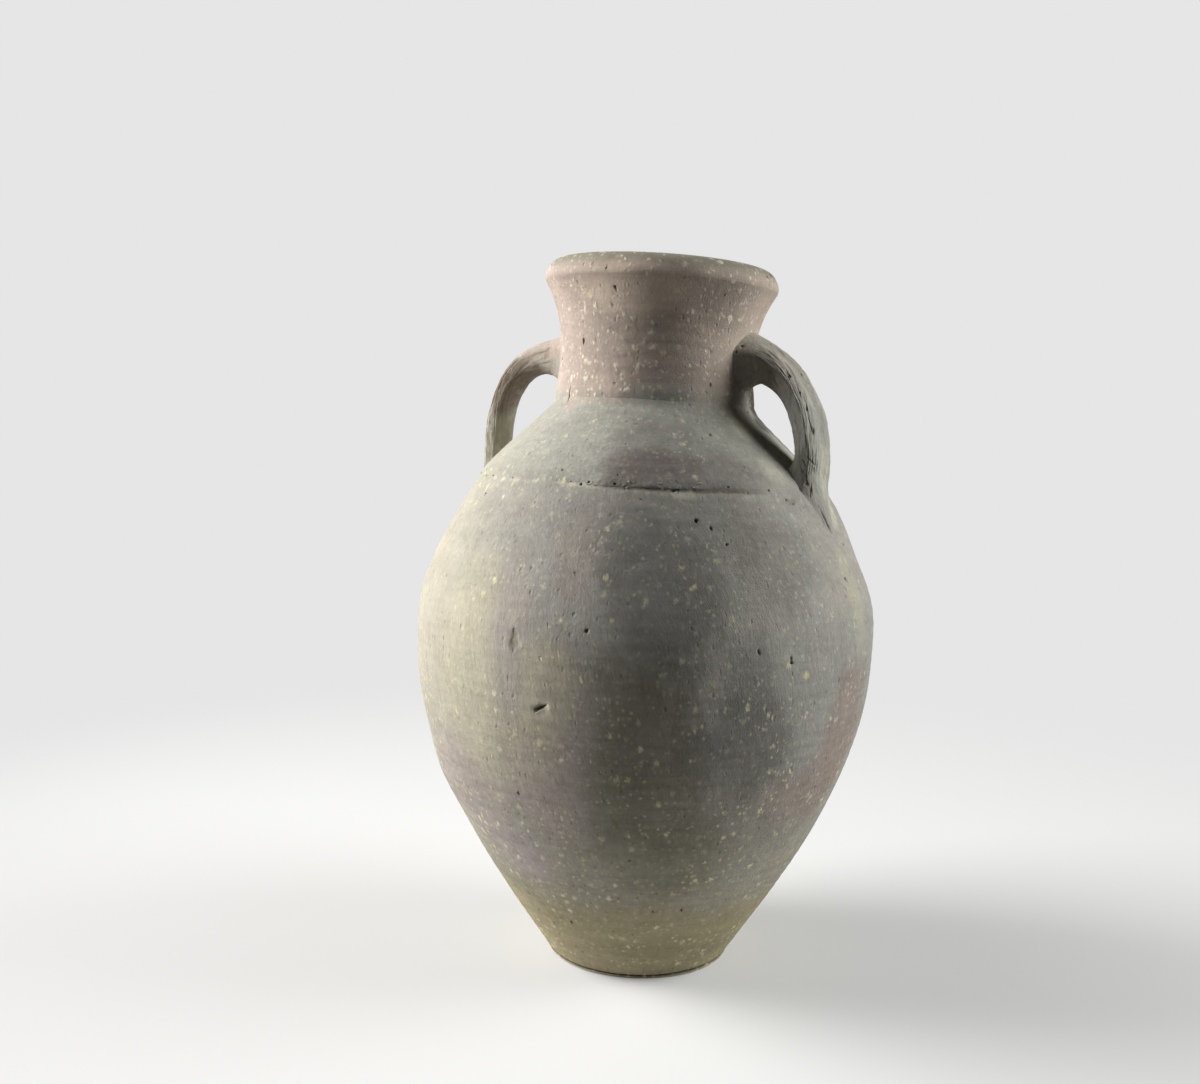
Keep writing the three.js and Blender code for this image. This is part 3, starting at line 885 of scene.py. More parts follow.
# %% One mark
class Mark:
    """A dent, or a swelling where its depth is negative."""

    def __init__(self, place, facing, across_mm, along_mm, depth_mm, flat=0.3, turned=0.0):
        self.place = np.array(place)
        self.facing = np.array(facing)
        side = np.cross([0, 0, 1], self.facing)
        side /= np.linalg.norm(side)
        up = np.cross(self.facing, side)
        self.side = side * math.cos(turned) + up * math.sin(turned)
        self.up = up * math.cos(turned) - side * math.sin(turned)
        self.across = across_mm * MM
        self.along = along_mm * MM
        self.depth = depth_mm * MM
        self.flat = flat

    def share(self, points):
        """How far each point is pressed, from 0 to 1."""
        away = points - self.place
        sideways = away @ self.side / self.across
        upwards = away @ self.up / self.along
        angle = np.arctan2(upwards, sideways)
        wave = 1 + 0.16 * np.sin(3 * angle + self.place[0] * 900)
        wave += 0.1 * np.sin(5 * angle + self.place[2] * 700)
        distance = np.hypot(sideways, upwards) / wave
        near = np.abs(away @ self.facing) < max(5 * MM, self.across)
        rise = np.clip((1 - distance) / (1 - self.flat), 0, 1)
        return rise * rise * (3 - 2 * rise) * near


trial = Mark((0.0, 0.0, 0.0), (0.0, -1.0, 0.0), 1, 1, 1)
print("share at the middle of a mark:", trial.share(np.zeros((1, 3)))[0])

# %% [markdown]
# ## Pressing
# A small pit is narrower than the faces of a wall. The whole wall could be made finer, but then it
# has millions of faces for a few dozen pits, so only the faces under small marks are cut. Each mark
# also leaves a value, high where it is deep and narrow, and the clay is painted dark by it: painted
# shade inside the pits and scratches.

# %% Press marks into a member
import bmesh

FINE_CUTS = 3
FINE_REACH_MM = 2.6
FINE_BELOW_MM = 4


def refine(mesh, marks, cuts):
    """Makes the grid finer under the small marks."""
    small = [mark for mark in marks if mark.across < FINE_BELOW_MM * MM]
    if not small:
        return
    points = read_points(mesh)
    near = np.zeros(len(points), bool)
    for mark in small:
        reach = max(mark.across, mark.along) + FINE_REACH_MM * MM
        near |= np.linalg.norm(points - mark.place, axis=1) < reach
    form = bmesh.new()
    form.from_mesh(mesh)
    edges = [edge for edge in form.edges if all(near[vertex.index] for vertex in edge.verts)]
    bmesh.ops.subdivide_edges(form, edges=edges, cuts=cuts, use_grid_fill=True, smooth=0.0)
    form.to_mesh(mesh)
    form.free()


def press(member, marks, cuts=FINE_CUTS):
    """Presses marks into a member."""
    mesh = member.data
    points = read_points(mesh)
    reached = [mark for mark in marks if mark.share(points).max() > 0]
    refine(mesh, reached, cuts)
    points = read_points(mesh)
    # painted shade for each point: more where a mark is deep and narrow
    burnt = np.zeros(len(points))
    for mark in reached:
        share = mark.share(points)
        burnt = np.maximum(burnt, share**2 * np.clip(mark.depth / mark.across, 0, 1))
        points -= share[:, None] * mark.facing * mark.depth
    mesh.vertices.foreach_set("co", points.ravel())
    mesh.attributes.new("burnt", "FLOAT", "POINT").data.foreach_set("value", burnt)
    mesh.update()
    print(member.name, len(reached), "marks,", len(mesh.polygons), "faces")


print("faces under marks narrower than", 2 * FINE_BELOW_MM, "mm are cut", FINE_CUTS, "times")

# %% [markdown]
# ## The marks of this jar
# The photograph shows the pits, scratches and dents of the front, so these are given by their
# pixels. The back isn't seen, and chance could make all of it, but the swellings shape the outline
# from every side. They are given by direction and height, and only the last small pits come from a
# fixed throw of dice.

# %% Places for marks
CLEAR_OF_JAR = 0.4


def on_side(azimuth_degrees, height_mm):
    """A place on the jar, given by the direction in which it is seen from the axis."""
    azimuth = math.radians(azimuth_degrees)
    away = Vector((math.cos(azimuth), math.sin(azimuth), 0))
    start = away * CLEAR_OF_JAR + Vector((0, 0, height_mm * MM))
    place, facing, _, _ = packed_jar.ray_cast(start, -away)
    return place, facing


def scratch(first, last, across_mm, depth_mm, among=packed_jar):
    """A narrow mark drawn from one pixel of the photograph to another."""
    start, facing = on_clay(*first, among)
    end = on_clay(*last, among)[0]
    mark = Mark((start + end) / 2, facing, across_mm, (end - start).length / 2 / MM, depth_mm, 0.3)
    mark.up = np.array((end - start).normalized())
    mark.side = np.cross(mark.up, mark.facing)
    return mark


print("right flank at mid height:", on_side(0, 200)[0])

# %% The marks of this jar
SWELLINGS = [
    # degrees from the right handle, height in mm, across and along in mm, depth in mm
    (14, 262, 52, 34, -2.6),
    (20, 212, 60, 34, -0.9),
    (-140, 112, 60, 34, -1.6),
]
PHOTO_PITS = [
    # pixel, across and along in mm, depth in mm
    (584, 341, 0.9, 2.0, 1.3),
    (771, 275, 1.6, 1.4, 1.2),
    (570, 394, 0.6, 6.0, 0.9),
    (696, 521, 1.3, 1.5, 1.4),
    (587, 631, 1.1, 1.2, 1.1),
    (791, 663, 1.2, 1.0, 1.1),
    (845, 579, 1.4, 1.1, 1.0),
    (516, 640, 3.4, 6.5, 0.5),
    (786, 500, 1.2, 0.8, 0.8),
    (793, 504, 1.0, 0.7, 0.7),
    (803, 508, 0.6, 0.6, 0.5),
    (581, 484, 0.8, 1.0, 0.8),
    (589, 482, 1.0, 0.9, 0.8),
    (615, 484, 1.0, 0.8, 0.9),
    (673, 491, 1.3, 0.9, 1.0),
    (728, 487, 1.0, 0.6, 0.7),
]
PHOTO_SCRATCHES = [
    # from a pixel to a pixel, across in mm, depth in mm
    ((814, 507), (831, 535), 0.7, 0.6),
    ((763, 441), (769, 456), 0.5, 0.4),
    ((843, 576), (848, 584), 0.8, 0.7),
    ((533, 711), (548, 704), 1.5, 1.4),
    ((757, 648), (759, 656), 0.7, 0.8),
    ((790, 654), (791, 665), 0.8, 1.0),
    ((614, 284), (617, 291), 0.9, 1.0),
]
PHOTO_DENTS = [
    # pixel, across and along in mm, depth in mm
    (543, 709, 5.5, 4.5, 0.8),
    (640, 560, 9.0, 7.0, 0.5),
    (760, 820, 8.0, 6.0, 0.6),
]
PIT_FLAT = 0.4
DENT_FLAT = 0.0
CHANCE_PITS = 30
CHANCE_FLAT = 0.35

swellings = [Mark(*on_side(turned, up), *sizes, DENT_FLAT) for turned, up, *sizes in SWELLINGS]
marks = [Mark(*on_clay(x, y), *sizes, PIT_FLAT) for x, y, *sizes in PHOTO_PITS]
marks += [Mark(*on_clay(x, y), *sizes, DENT_FLAT) for x, y, *sizes in PHOTO_DENTS]
marks += [scratch(*line) for line in PHOTO_SCRATCHES]
dice = np.random.default_rng(7)
for _ in range(CHANCE_PITS):
    azimuth, height = dice.uniform(0, 360), dice.uniform(12, 385)
    sizes = [dice.uniform(0.6, 1.3), dice.uniform(0.7, 1.9), dice.uniform(0.6, 1.2)]
    marks.append(Mark(*on_side(azimuth, height), *sizes, CHANCE_FLAT, dice.uniform(-0.5, 0.5)))
print(len(swellings), "swellings and", len(marks), "smaller marks")

# %% Press the walls
for member in (lower_wall, shoulder_wall, neck_wall):
    press(member, swellings + marks)
jar_skin = searchable(lower_wall, shoulder_wall, neck_wall)

# %% [markdown]
# ## The straps
# A handle is pulled: a lump of clay is drawn down with a wet hand into a long strap, which keeps
# the grooves of the fingers and two squared edges. It is bent while soft and luted on. A curve
# object with a bevel has one section from end to end, but a pulled strap is thick at its roots, and
# its outer face falls away to one side. So its sizes are given at the upper root, the middle and
# the lower root. Its line, its thickness and its width are those of the packed solids.

# %% Sizes of the handles
from dataclasses import dataclass, field

ROOT_DEPTH_MM = 4.0


@dataclass
class Handle:
    """The sizes of one handle, in millimetres, from its upper root to its lower one."""

    name: str
    side: int
    upper_root: float
    lower_root: float
    upper_pull: tuple
    lower_pull: tuple
    thickness: tuple
    width: tuple
    slant: tuple
    upper_bed: tuple
    lower_bed: tuple
    line: Path = field(init=False)

    def __post_init__(self):
        upper = in_wall(way_at_height(NECK_SEAM[1] + self.upper_root), ROOT_DEPTH_MM)
        lower = in_wall(way_at_height(SHOULDER_SEAM[1] + self.lower_root), ROOT_DEPTH_MM)
        control = [upper, upper + self.upper_pull, lower + self.lower_pull, lower]
        self.line = Path(points_along(control, CURVE_STEPS))


right_handle = Handle(
    name="right", side=1, upper_root=28, lower_root=-4,
    upper_pull=(47.5, -2.5), lower_pull=(4.5, 19.5),
    thickness=(32, 15.5, 13.5), width=(23.5, 24.5, 22.5), slant=(10, 5.2, 4.5),
    upper_bed=(2, 4.5, 2.5), lower_bed=(22, 4, 3),
)
left_handle = Handle(
    name="left", side=-1, upper_root=24.5, lower_root=-20,
    upper_pull=(63, 11), lower_pull=(4, 39.5),
    thickness=(32, 12, 14), width=(21.5, 19.5, 21), slant=(5, 2, 3),
    upper_bed=(2, 6, 2.5), lower_bed=(18, 4, 3),
)
print(f"straps {right_handle.line.length:.0f} and {left_handle.line.length:.0f} mm long")

# %% [markdown]
# ## The skin of a strap
# Its section is a rounded oblong, squarer in the middle than at the roots, with two shallow grooves
# and a slanting outer face. A circle scaled flat would get too few lines on its faces and too many
# at its edges, so the lines are spread evenly round the outline first. One function then gives the
# skin at any way along the strap and any angle round it, and the root clay below uses it too.

# %% The skin of a strap
STRAP_SQUARENESS = (2.3, 4.2, 3.2)
GROOVE_MM = 0.4


def squared(value, squareness):
    """A sine or cosine, bent so that a circle turns into an oblong with round corners."""
    return np.sign(value) * np.abs(value) ** (2 / squareness)


def along_strap(sizes, share):
    """A size at a share of the way, from its values at both roots and in the middle."""
    upper, middle, lower = sizes
    root = np.where(share < 0.5, upper, lower)
    return middle + (root - middle) * np.minimum(1, (2 * share - 1) ** 2)


def even_angles(count):
    """Angles that lie evenly round a strap, as close on its faces as on its edges."""
    fine = np.linspace(0, 2 * math.pi, 20001)
    squareness = STRAP_SQUARENESS[1]
    outline = np.stack([
        8 * squared(np.cos(fine), squareness), 12 * squared(np.sin(fine), squareness),
    ], -1)
    ways = np.concatenate([[0], np.cumsum(np.linalg.norm(np.diff(outline, axis=0), axis=1))])
    return np.interp(np.arange(count) / count * ways[-1], ways, fine)


def strap_skin(handle, way, angle, growth=0.0):
    """Points of a strap, a way along it and an angle round it, grown outwards by a thickness."""
    line = handle.line
    nearest = np.clip(way, 0, line.length)
    share = nearest / line.length
    slope = line.slope(nearest)
    centre = line.point(nearest) + slope * (way - nearest)[..., None]
    squareness = along_strap(STRAP_SQUARENESS, share)
    outwards = squared(np.cos(angle), squareness)
    across = squared(np.sin(angle), squareness)
    fall = along_strap(handle.slant, share) * ((1 - across) / 2) ** 1.4
    groove = GROOVE_MM * np.sin(math.pi * share) * np.cos(2 * math.pi * across) * (1 - across**2)
    thickness = along_strap(handle.thickness, share) / 2 + growth
    reach = outwards * thickness - (groove + fall) * np.maximum(0, outwards)
    in_plane = centre + np.stack([-slope[..., 1], slope[..., 0]], -1) * reach[..., None]
    width = along_strap(handle.width, share) / 2 + growth
    return np.stack([handle.side * in_plane[..., 0], across * width, in_plane[..., 1]], -1)


half_way = np.array([right_handle.line.length / 2])
print("outer face half way:", strap_skin(right_handle, half_way, np.zeros(1)).round(1))

# %% [markdown]
# ## Where a strap leaves the wall
# The wall is round and the strap is flat, so each line of the strap has its own length. Ends that
# simply run deep would show inside the jar, and a Boolean that cuts them off leaves ragged faces.
# So a search by halves finds for every line how far along it comes up to a given depth of the wall.

# %% Where a strap leaves the wall
RUN_PAST_ROOT_MM = 14.0
HALVINGS = 22


def way_out_of_wall(handle, angle, within, beyond, growth, depth):
    """How far along the strap each of its lines comes up to a given depth of the wall."""
    within = np.full(angle.shape, within)
    beyond = np.full(angle.shape, beyond)
    for _ in range(HALVINGS):
        middle = (within + beyond) / 2
        point = strap_skin(handle, middle, angle, growth)
        inside = np.hypot(point[..., 0], point[..., 1]) < radius_at_height(point[..., 2], depth)
        within = np.where(inside, middle, within)
        beyond = np.where(inside, beyond, middle)
    return within


print("way out of the wall:", way_out_of_wall(right_handle, np.zeros(1), -14.0, 19.0, 0.0, 0.0))

# %% [markdown]
# ## From rings to a kneaded strap
# Rings of points are joined with faces into a closed mesh, with its faces turned outwards. A
# Displace modifier could roughen it, but the ribs have to run along the strap and stay between its
# edges. So they are a noise read along the strap and round it, which makes long thin ridges, and
# then the whole skin is moved a little by the hand and the grit.

# %% Rings, kneading and ribs
from mathutils import noise

RIB_MM = 0.42
# heights in mm and lumps per metre of the hand, the grit and the sand
TOUCHES = ((0.55, 45), (0.16, 280), (0.1, 600))


def ring_mesh(name, rings, clay, joined_ends=False):
    """A closed mesh through rings of points in millimetres."""
    count, size, _ = rings.shape
    mesh = bpy.data.meshes.new(name)
    faces = []
    for ring in range(count if joined_ends else count - 1):
        here, there = ring * size, (ring + 1) % count * size
        for index in range(size):
            beside = (index + 1) % size
            faces.append((here + index, here + beside, there + beside, there + index))
    if not joined_ends:
        faces.append(tuple(range(size)))
        faces.append(tuple(range((count - 1) * size, count * size)))
    mesh.from_pydata(rings.reshape(-1, 3) * MM, [], faces)
    form = bmesh.new()
    form.from_mesh(mesh)
    bmesh.ops.recalc_face_normals(form, faces=form.faces)
    form.to_mesh(mesh)
    form.free()
    mesh.polygons.foreach_set("use_smooth", np.ones(len(mesh.polygons), bool))
    mesh.materials.append(clay)
    made = bpy.data.objects.new(name, mesh)
    scene.collection.objects.link(made)
    return made


def knead(member):
    """Lets the hand and the grit into a smooth skin."""
    mesh = member.data
    points = read_points(mesh)
    normals = np.array([vertex.normal[:] for vertex in mesh.vertices])
    lift = np.array([
        sum(rise * noise.noise(Vector(point) * lumps) for rise, lumps in TOUCHES)
        for point in points
    ])
    points += normals * (lift * MM)[:, None]
    mesh.vertices.foreach_set("co", points.ravel())
    mesh.update()


def ribs(ways, angles):
    """The fine lines that a wet hand draws along a strap, in millimetres."""
    turned = angles + ways * 0.012
    places = np.stack([np.cos(turned) * 8.5, np.sin(turned) * 8.5, ways / 9], -1)
    flat = [noise.noise(Vector(place)) for place in places.reshape(-1, 3)]
    return RIB_MM * np.array(flat).reshape(ways.shape)


print("ribs:", ribs(np.zeros(4), np.linspace(0, 1, 4)).round(2), "mm")

# %% Pull the straps
STRAP_LINES = 176
STRAP_RINGS = 210
STRAP_IN_WALL_MM = 2.4
SEARCH_MM = 19.0


def strap(handle):
    """The strap, each of its lines ending at an even depth in the wall."""
    angle = even_angles(STRAP_LINES)
    length = handle.line.length
    start = way_out_of_wall(handle, angle, -RUN_PAST_ROOT_MM, SEARCH_MM, 0.0, STRAP_IN_WALL_MM)
    end = way_out_of_wall(
        handle, angle, length + RUN_PAST_ROOT_MM, length - SEARCH_MM, 0.0, STRAP_IN_WALL_MM
    )
    share = np.linspace(0, 1, STRAP_RINGS)[:, None]
    ways = start + (end - start) * share
    angles = angle + 0 * share
    rings = strap_skin(handle, ways, angles, ribs(ways, angles))
    made = ring_mesh(f"{handle.name}_strap", lean_over(rings), clays["handle_clay"])
    knead(made)
    print(made.name, len(made.data.polygons), "faces")
    return made


right_strap = strap(right_handle)
left_strap = strap(left_handle)

# %% [markdown]
# ## The clay at the roots
# Soft clay is pressed round each root and wiped out thin over the wall and up the strap. A remesh
# could melt strap and wall together, but then the jar would be one lump, and each bed is a member
# of its own. So each line of a bed starts under the wall's skin, bells out to the strap and thins
# away along it, as the finished wall lies there. Below the lower roots the thumb dragged a tail
# down the shoulder.

# %% Root clay
BED_LINES = 176
BED_STEPS = 34
BED_UP_STRAP_MM = 19.0
BED_EDGE_MM = 0.9
BED_THIN_MM = -0.35
BED_KEY_MM = 2.6
BED_FLARE = 2.6
BED_UNDER_SKIN_MM = -1.6
ABOVE_WALL = 0.03


def on_wall(handle, way, turn, depth):
    """A point of the wall on the handle's side, turned about the axis."""
    point = in_wall(way, depth)
    radius, height = point[..., 0], point[..., 1]
    return np.stack([handle.side * radius * np.cos(turn), radius * np.sin(turn), height], -1)


def settled(points):
    """Moves points in or out as the finished wall lies beside the ideal one."""
    flat = points.reshape(-1, 3)
    moved = flat.copy()
    for index, point in enumerate(flat):
        outwards = Vector((point[0], point[1], 0)).normalized()
        start = Vector(lean_over(point)) * MM + outwards * ABOVE_WALL
        hit = jar_skin.ray_cast(start, -outwards)[0]
        if hit is not None:
            moved[index] -= np.array(outwards) * ((hit - start).length - ABOVE_WALL) / MM
    return moved.reshape(points.shape)


def root_clay(handle, place, bed, root_way, inland, upwards):
    """The clay round a root: out of the wall, along its bell to the strap, and back below."""
    ahead, behind, spread_across = bed
    angle = even_angles(BED_LINES)
    across = squared(np.sin(angle), STRAP_SQUARENESS[1])
    within = root_way - inland * RUN_PAST_ROOT_MM
    beyond = root_way + inland * BED_UP_STRAP_MM
    start = way_out_of_wall(handle, angle, within, beyond, BED_EDGE_MM, 0.0)
    meeting = strap_skin(handle, start, angle, BED_EDGE_MM)
    reach = np.where(np.cos(angle) > 0, ahead * (1 - across**2), behind)
    way = way_at_height(meeting[..., 2]) + upwards * reach * np.cos(angle)
    turn = np.arcsin((meeting[..., 1] + spread_across * np.sin(angle)) / in_wall(way, 0.0)[..., 0])
    surface = on_wall(handle, way, turn, 0.0)
    give = settled(surface) - surface
    spread = on_wall(handle, way, turn, 0.35) + give - meeting
    rings = [on_wall(handle, way, turn, BED_KEY_MM) + give]
    for step in range(BED_STEPS + 1):
        share = (step / BED_STEPS) ** 2
        thin = BED_EDGE_MM + (BED_THIN_MM - BED_EDGE_MM) * share ** 0.5
        skin = strap_skin(handle, start + inland * BED_UP_STRAP_MM * share, angle, thin)
        rings.append(skin + spread * (1 - share) ** BED_FLARE)
    for share in (0.9, 0.45, 0.0):
        way = start + inland * BED_UP_STRAP_MM * share
        rings.append(strap_skin(handle, way, angle, BED_UNDER_SKIN_MM))
    name = f"{handle.name}_{place}_clay"
    made = ring_mesh(name, lean_over(np.array(rings)), clays["handle_clay"], joined_ends=True)
    knead(made)
    print(name, len(made.data.polygons), "faces")
    return made


beds = {}
for handle in (right_handle, left_handle):
    name, end = handle.name, handle.line.length
    beds[f"neck_bed_{name}"] = root_clay(handle, "neck", handle.upper_bed, 0.0, 1, 1)
    beds[f"shoulder_bed_{name}"] = root_clay(handle, "shoulder", handle.lower_bed, end, -1, -1)

# %% [markdown]
# ## The thumb's last touch
# Where the right strap meets the shoulder, a thumb pressed and smeared the soft clay, and small
# bits tore out of the drawn strap. They could be painted, but they catch the light at the edge of
# the handle, so they are pressed like the marks on the jar, with fewer cuts because a strap is fine
# already.

# %% Marks on the handles
HANDLE_MARKS = [
    # pixel, across and along in mm, depth in mm, how flat
    (807, 461, 6.5, 7.5, 0.6, 0.1),
    (792, 373, 0.8, 1.6, 1.0, 0.4),
    (803, 390, 0.5, 1.4, 0.8, 0.4),
    (808, 407, 0.5, 2.4, 0.8, 0.4),
    (818, 430, 0.6, 2.2, 0.8, 0.4),
    (803, 373, 0.5, 0.8, 0.6, 0.4),
    (806, 484, 1.4, 1.6, 0.7, 0.2),
    (811, 492, 0.8, 3.6, 0.7, 0.2),
    (806, 476, 0.7, 2.6, 0.6, 0.2),
    (812, 470, 0.7, 2.4, 0.6, 0.2),
    (741, 346, 1.2, 1.0, 0.8, 0.3),
    (736, 352, 0.9, 1.4, 0.8, 0.3),
]
HANDLE_SCRATCHES = [
    # from a pixel to a pixel, across in mm, depth in mm
    ((800, 456), (807, 470), 0.5, 0.4),
    ((805, 453), (812, 468), 0.5, 0.4),
    ((799, 464), (805, 478), 0.5, 0.4),
    ((803, 474), (809, 490), 0.5, 0.3),
    ((812, 482), (813, 498), 0.6, 0.5),
    ((786, 366), (790, 380), 0.4, 0.4),
    ((799, 382), (806, 402), 0.4, 0.4),
    ((811, 414), (817, 438), 0.4, 0.4),
]
STRAP_CUTS = 1
handle_marks = [scratch(*line, packed_handles) for line in HANDLE_SCRATCHES]
handle_marks += [Mark(*on_clay(x, y, packed_handles), *sizes) for x, y, *sizes in HANDLE_MARKS]
for member in (right_strap, left_strap, *beds.values()):
    press(member, handle_marks + marks, STRAP_CUTS)

# %% [markdown]
# ## The fired clay
# The whole vase is one coarse clay, fired in an uneven wood fire, so its colour drifts: reddish
# brown on the neck, pale grey-green on the shoulder, neutral grey in the middle of the belly,
# violet low on the left, reddish on the right flank and olive at the foot. It could be painted on
# an image, but an image is only as fine as its pixels, and every wall would have to be unwrapped.
# All members share one frame, so one shader on Object coordinates runs over the seams without a
# break. The palette comes first.

# %% The palette
def colour(red, green, blue):
    """A colour as seen on a screen, 0 to 255, turned into the linear values that nodes take."""
    def linear(value):
        value /= 255
        return value / 12.92 if value <= 0.04045 else ((value + 0.055) / 1.055) ** 2.4
    return (linear(red), linear(green), linear(blue), 1.0)


GREY = colour(159, 157, 151)
DARK_GREY = colour(126, 125, 120)
CREAM = colour(182, 176, 156)
GREEN_GREY = colour(161, 160, 151)
# pale ash, and painted light where the right strap's shadow falls on the shoulder
ASH_AND_PAINTED_LIGHT = colour(200, 197, 180)
PINK = colour(162, 155, 147)
VIOLET = colour(168, 157, 150)
LOW_VIOLET = colour(164, 155, 152)
PURPLE = colour(104, 95, 93)
RED = colour(156, 140, 131)
OLIVE = colour(152, 146, 124)
DARK_OLIVE = colour(132, 128, 112)
SLATE = colour(121, 119, 114)
# painted shade, for the wall behind the right strap
DEEP_PAINTED_SHADE = colour(97, 93, 85)
OLIVE_FOOT = colour(158, 149, 121)
WORN_OLIVE = colour(142, 134, 108)
ROSE = colour(186, 170, 158)
BROWN = colour(158, 144, 136)
PALE_ROSE = colour(226, 207, 190)
DARK_BROWN = colour(118, 104, 92)
RIM_GREEN = colour(134, 132, 116)
LIME = colour(228, 219, 170)
CHALK = colour(216, 210, 186)
PALE_GRIT = colour(230, 219, 196)
SMEAR = colour(108, 106, 96)
# painted shade under the right strap and along the lap's open edge
PAINTED_SHADE = colour(70, 65, 56)
# dark clay, soot and grime; also the painted shade in pressed pits and scratches
SOOT_AND_SHADE = colour(42, 37, 33)
print("the grey of the belly:", [round(value, 3) for value in GREY])

# %% [markdown]
# ## Stains of the fire and the ash, and some painted shade and light
# Noise alone would make some jar, but not this one: a stain is known by its place. So each stain
# has a place, a size, a colour and a strength. Those of the front are given by the pixel at which
# the photograph shows them. Those of the far side are invented, and given by direction and height.
# A few patches round the right strap are no stains but painted shade and painted light.

# %% The stains
STAINS_ABOVE_SEAM = [
    # pixel, radii across and up in mm, colour, strength
    (655, 446, 36, 22, SLATE, 0.5),
    (652, 436, 20, 10, SLATE, 0.5),
    (702, 468, 34, 16, SLATE, 0.3),
    (650, 468, 28, 14, PURPLE, 0.85),
    (712, 478, 34, 14, PURPLE, 0.3),
]
HANDLE_STAINS = [
    # pixel, radii across and up in mm, colour, strength
    (807, 461, 8, 8, SMEAR, 0.25),
    (808, 484, 4.5, 8, SMEAR, 0.5),
    (768, 352, 9, 6, SMEAR, 0.4),
    (826, 470, 5, 18, ASH_AND_PAINTED_LIGHT, 0.8),
    (510, 392, 15, 22, DARK_BROWN, 0.8),
    (528, 370, 14, 10, DARK_BROWN, 0.6),
    (503, 432, 8, 14, DARK_OLIVE, 0.6),
    (552, 346, 11, 10, ROSE, 0.8),
    (532, 352, 12, 8, ROSE, 0.4),
]
PATCHES = [
    # pixel, radii across and up in mm, colour, strength
    (636, 288, 34, 15, PALE_ROSE, 0.9),
    (588, 428, 34, 16, GREEN_GREY, 0.9),
    # painted light on the shoulder under the right strap, lifting the strap's shadow there
    (742, 430, 9, 12, ASH_AND_PAINTED_LIGHT, 0.9),
    (772, 472, 9, 12, ASH_AND_PAINTED_LIGHT, 0.5),
    (580, 560, 16, 46, PINK, 0.9),
    (510, 600, 16, 60, PINK, 0.8),
    (765, 560, 24, 42, PINK, 0.9),
    (662, 590, 34, 62, DARK_GREY, 0.85),
    (465, 670, 26, 90, CREAM, 0.8),
    (640, 770, 44, 56, DARK_OLIVE, 0.8),
    (668, 860, 42, 28, DARK_OLIVE, 0.6),
    (742, 748, 36, 34, SLATE, 0.85),
    (745, 870, 20, 16, GREEN_GREY, 0.5),
    (560, 720, 24, 34, PINK, 0.8),
    (470, 790, 40, 44, VIOLET, 0.8),
    (548, 790, 26, 50, VIOLET, 0.8),
    (520, 850, 26, 22, LOW_VIOLET, 0.9),
    (484, 812, 12, 20, LOW_VIOLET, 0.7),
    (545, 690, 20, 30, CREAM, 0.8),
    (842, 735, 26, 44, RED, 0.8),
    (812, 795, 20, 32, RED, 0.6),
    (590, 294, 2.4, 2.4, LIME, 0.5),
    (589, 393, 2.2, 3.0, WORN_OLIVE, 0.5),
    (697, 522, 3.5, 3.5, DARK_OLIVE, 0.7),
    (516, 640, 4.5, 8, DARK_OLIVE, 0.5),
    (549, 706, 1.6, 3.2, CHALK, 0.6),
    (682, 444, 2.2, 1.6, LIME, 0.8),
    (612, 621, 1.8, 1.8, LIME, 0.8),
    (806, 676, 3.0, 2.0, LIME, 0.7),
    (723, 837, 1.8, 1.8, LIME, 0.8),
    (695, 880, 1.6, 1.8, LIME, 0.8),
    (791, 502, 5.0, 2.4, DARK_OLIVE, 0.5),
    # painted shade on the wall under and beside the right strap, where the strap's shadow falls
    (752, 398, 12, 15, PAINTED_SHADE, 1.0),
    (761, 425, 7, 8, PAINTED_SHADE, 0.7),
    (690, 805, 44, 26, DARK_OLIVE, 0.4),
    (665, 565, 44, 26, DARK_GREY, 0.3),
    (768, 277, 1.4, 1.4, SOOT_AND_SHADE, 1.0),
    (722, 312, 16, 26, BROWN, 0.6),
    (690, 525, 46, 24, DARK_GREY, 0.4),
    (780, 560, 30, 28, DARK_GREY, 0.35),
    (612, 690, 20, 26, DARK_OLIVE, 0.5),
    (748, 692, 20, 22, DARK_GREY, 0.5),
    (852, 590, 12, 40, CREAM, 0.5),
    (500, 745, 34, 26, CREAM, 0.5),
    (788, 800, 22, 18, RED, 0.5),
    (828, 516, 8, 16, ASH_AND_PAINTED_LIGHT, 0.6),
]
FOOT_PATCHES = [
    # pixel, radii across and up in mm, colour, strength
    (640, 950, 30, 9, WORN_OLIVE, 0.7),
    (715, 945, 18, 8, WORN_OLIVE, 0.5),
]
SIDE_PATCHES = [
    # degrees from the right handle, height in mm, radii across and up in mm, colour, strength
    # painted shade on the wall behind the right strap, where it is seen through the handle's
    # opening
    (25, 309, 23, 20, DEEP_PAINTED_SHADE, 0.85),
    (60, 300, 40, 16, SLATE, 0.5),
    (75, 235, 50, 40, CREAM, 0.6),
    (95, 160, 44, 50, DARK_GREY, 0.7),
    (120, 95, 40, 34, RED, 0.7),
    (128, 262, 44, 20, PINK, 0.7),
    (140, 205, 40, 36, DARK_OLIVE, 0.7),
    (165, 290, 34, 16, ASH_AND_PAINTED_LIGHT, 0.5),
    (60, 80, 40, 30, DARK_OLIVE, 0.7),
    (90, 362, 24, 22, BROWN, 0.7),
    (135, 335, 20, 10, DARK_OLIVE, 0.6),
    (60, 345, 18, 14, PALE_ROSE, 0.6),
    (172, 150, 40, 60, PINK, 0.7),
    (30, 180, 30, 50, GREEN_GREY, 0.6),
    (100, 40, 30, 14, WORN_OLIVE, 0.6),
]


print(len(PATCHES), "stains on the front,", len(SIDE_PATCHES), "round the back")

# %% [markdown]
# ## What the layers of a clay share
# Every layer of colour reads the same place and the same three clouds: wide, wandering and mottled.
# If each had noise of its own, the borders would cross at random. With shared clouds they wander
# together, as they do where ash settles and flame licks. Blending goes through a Mix node, because
# a Math node would turn a colour grey.

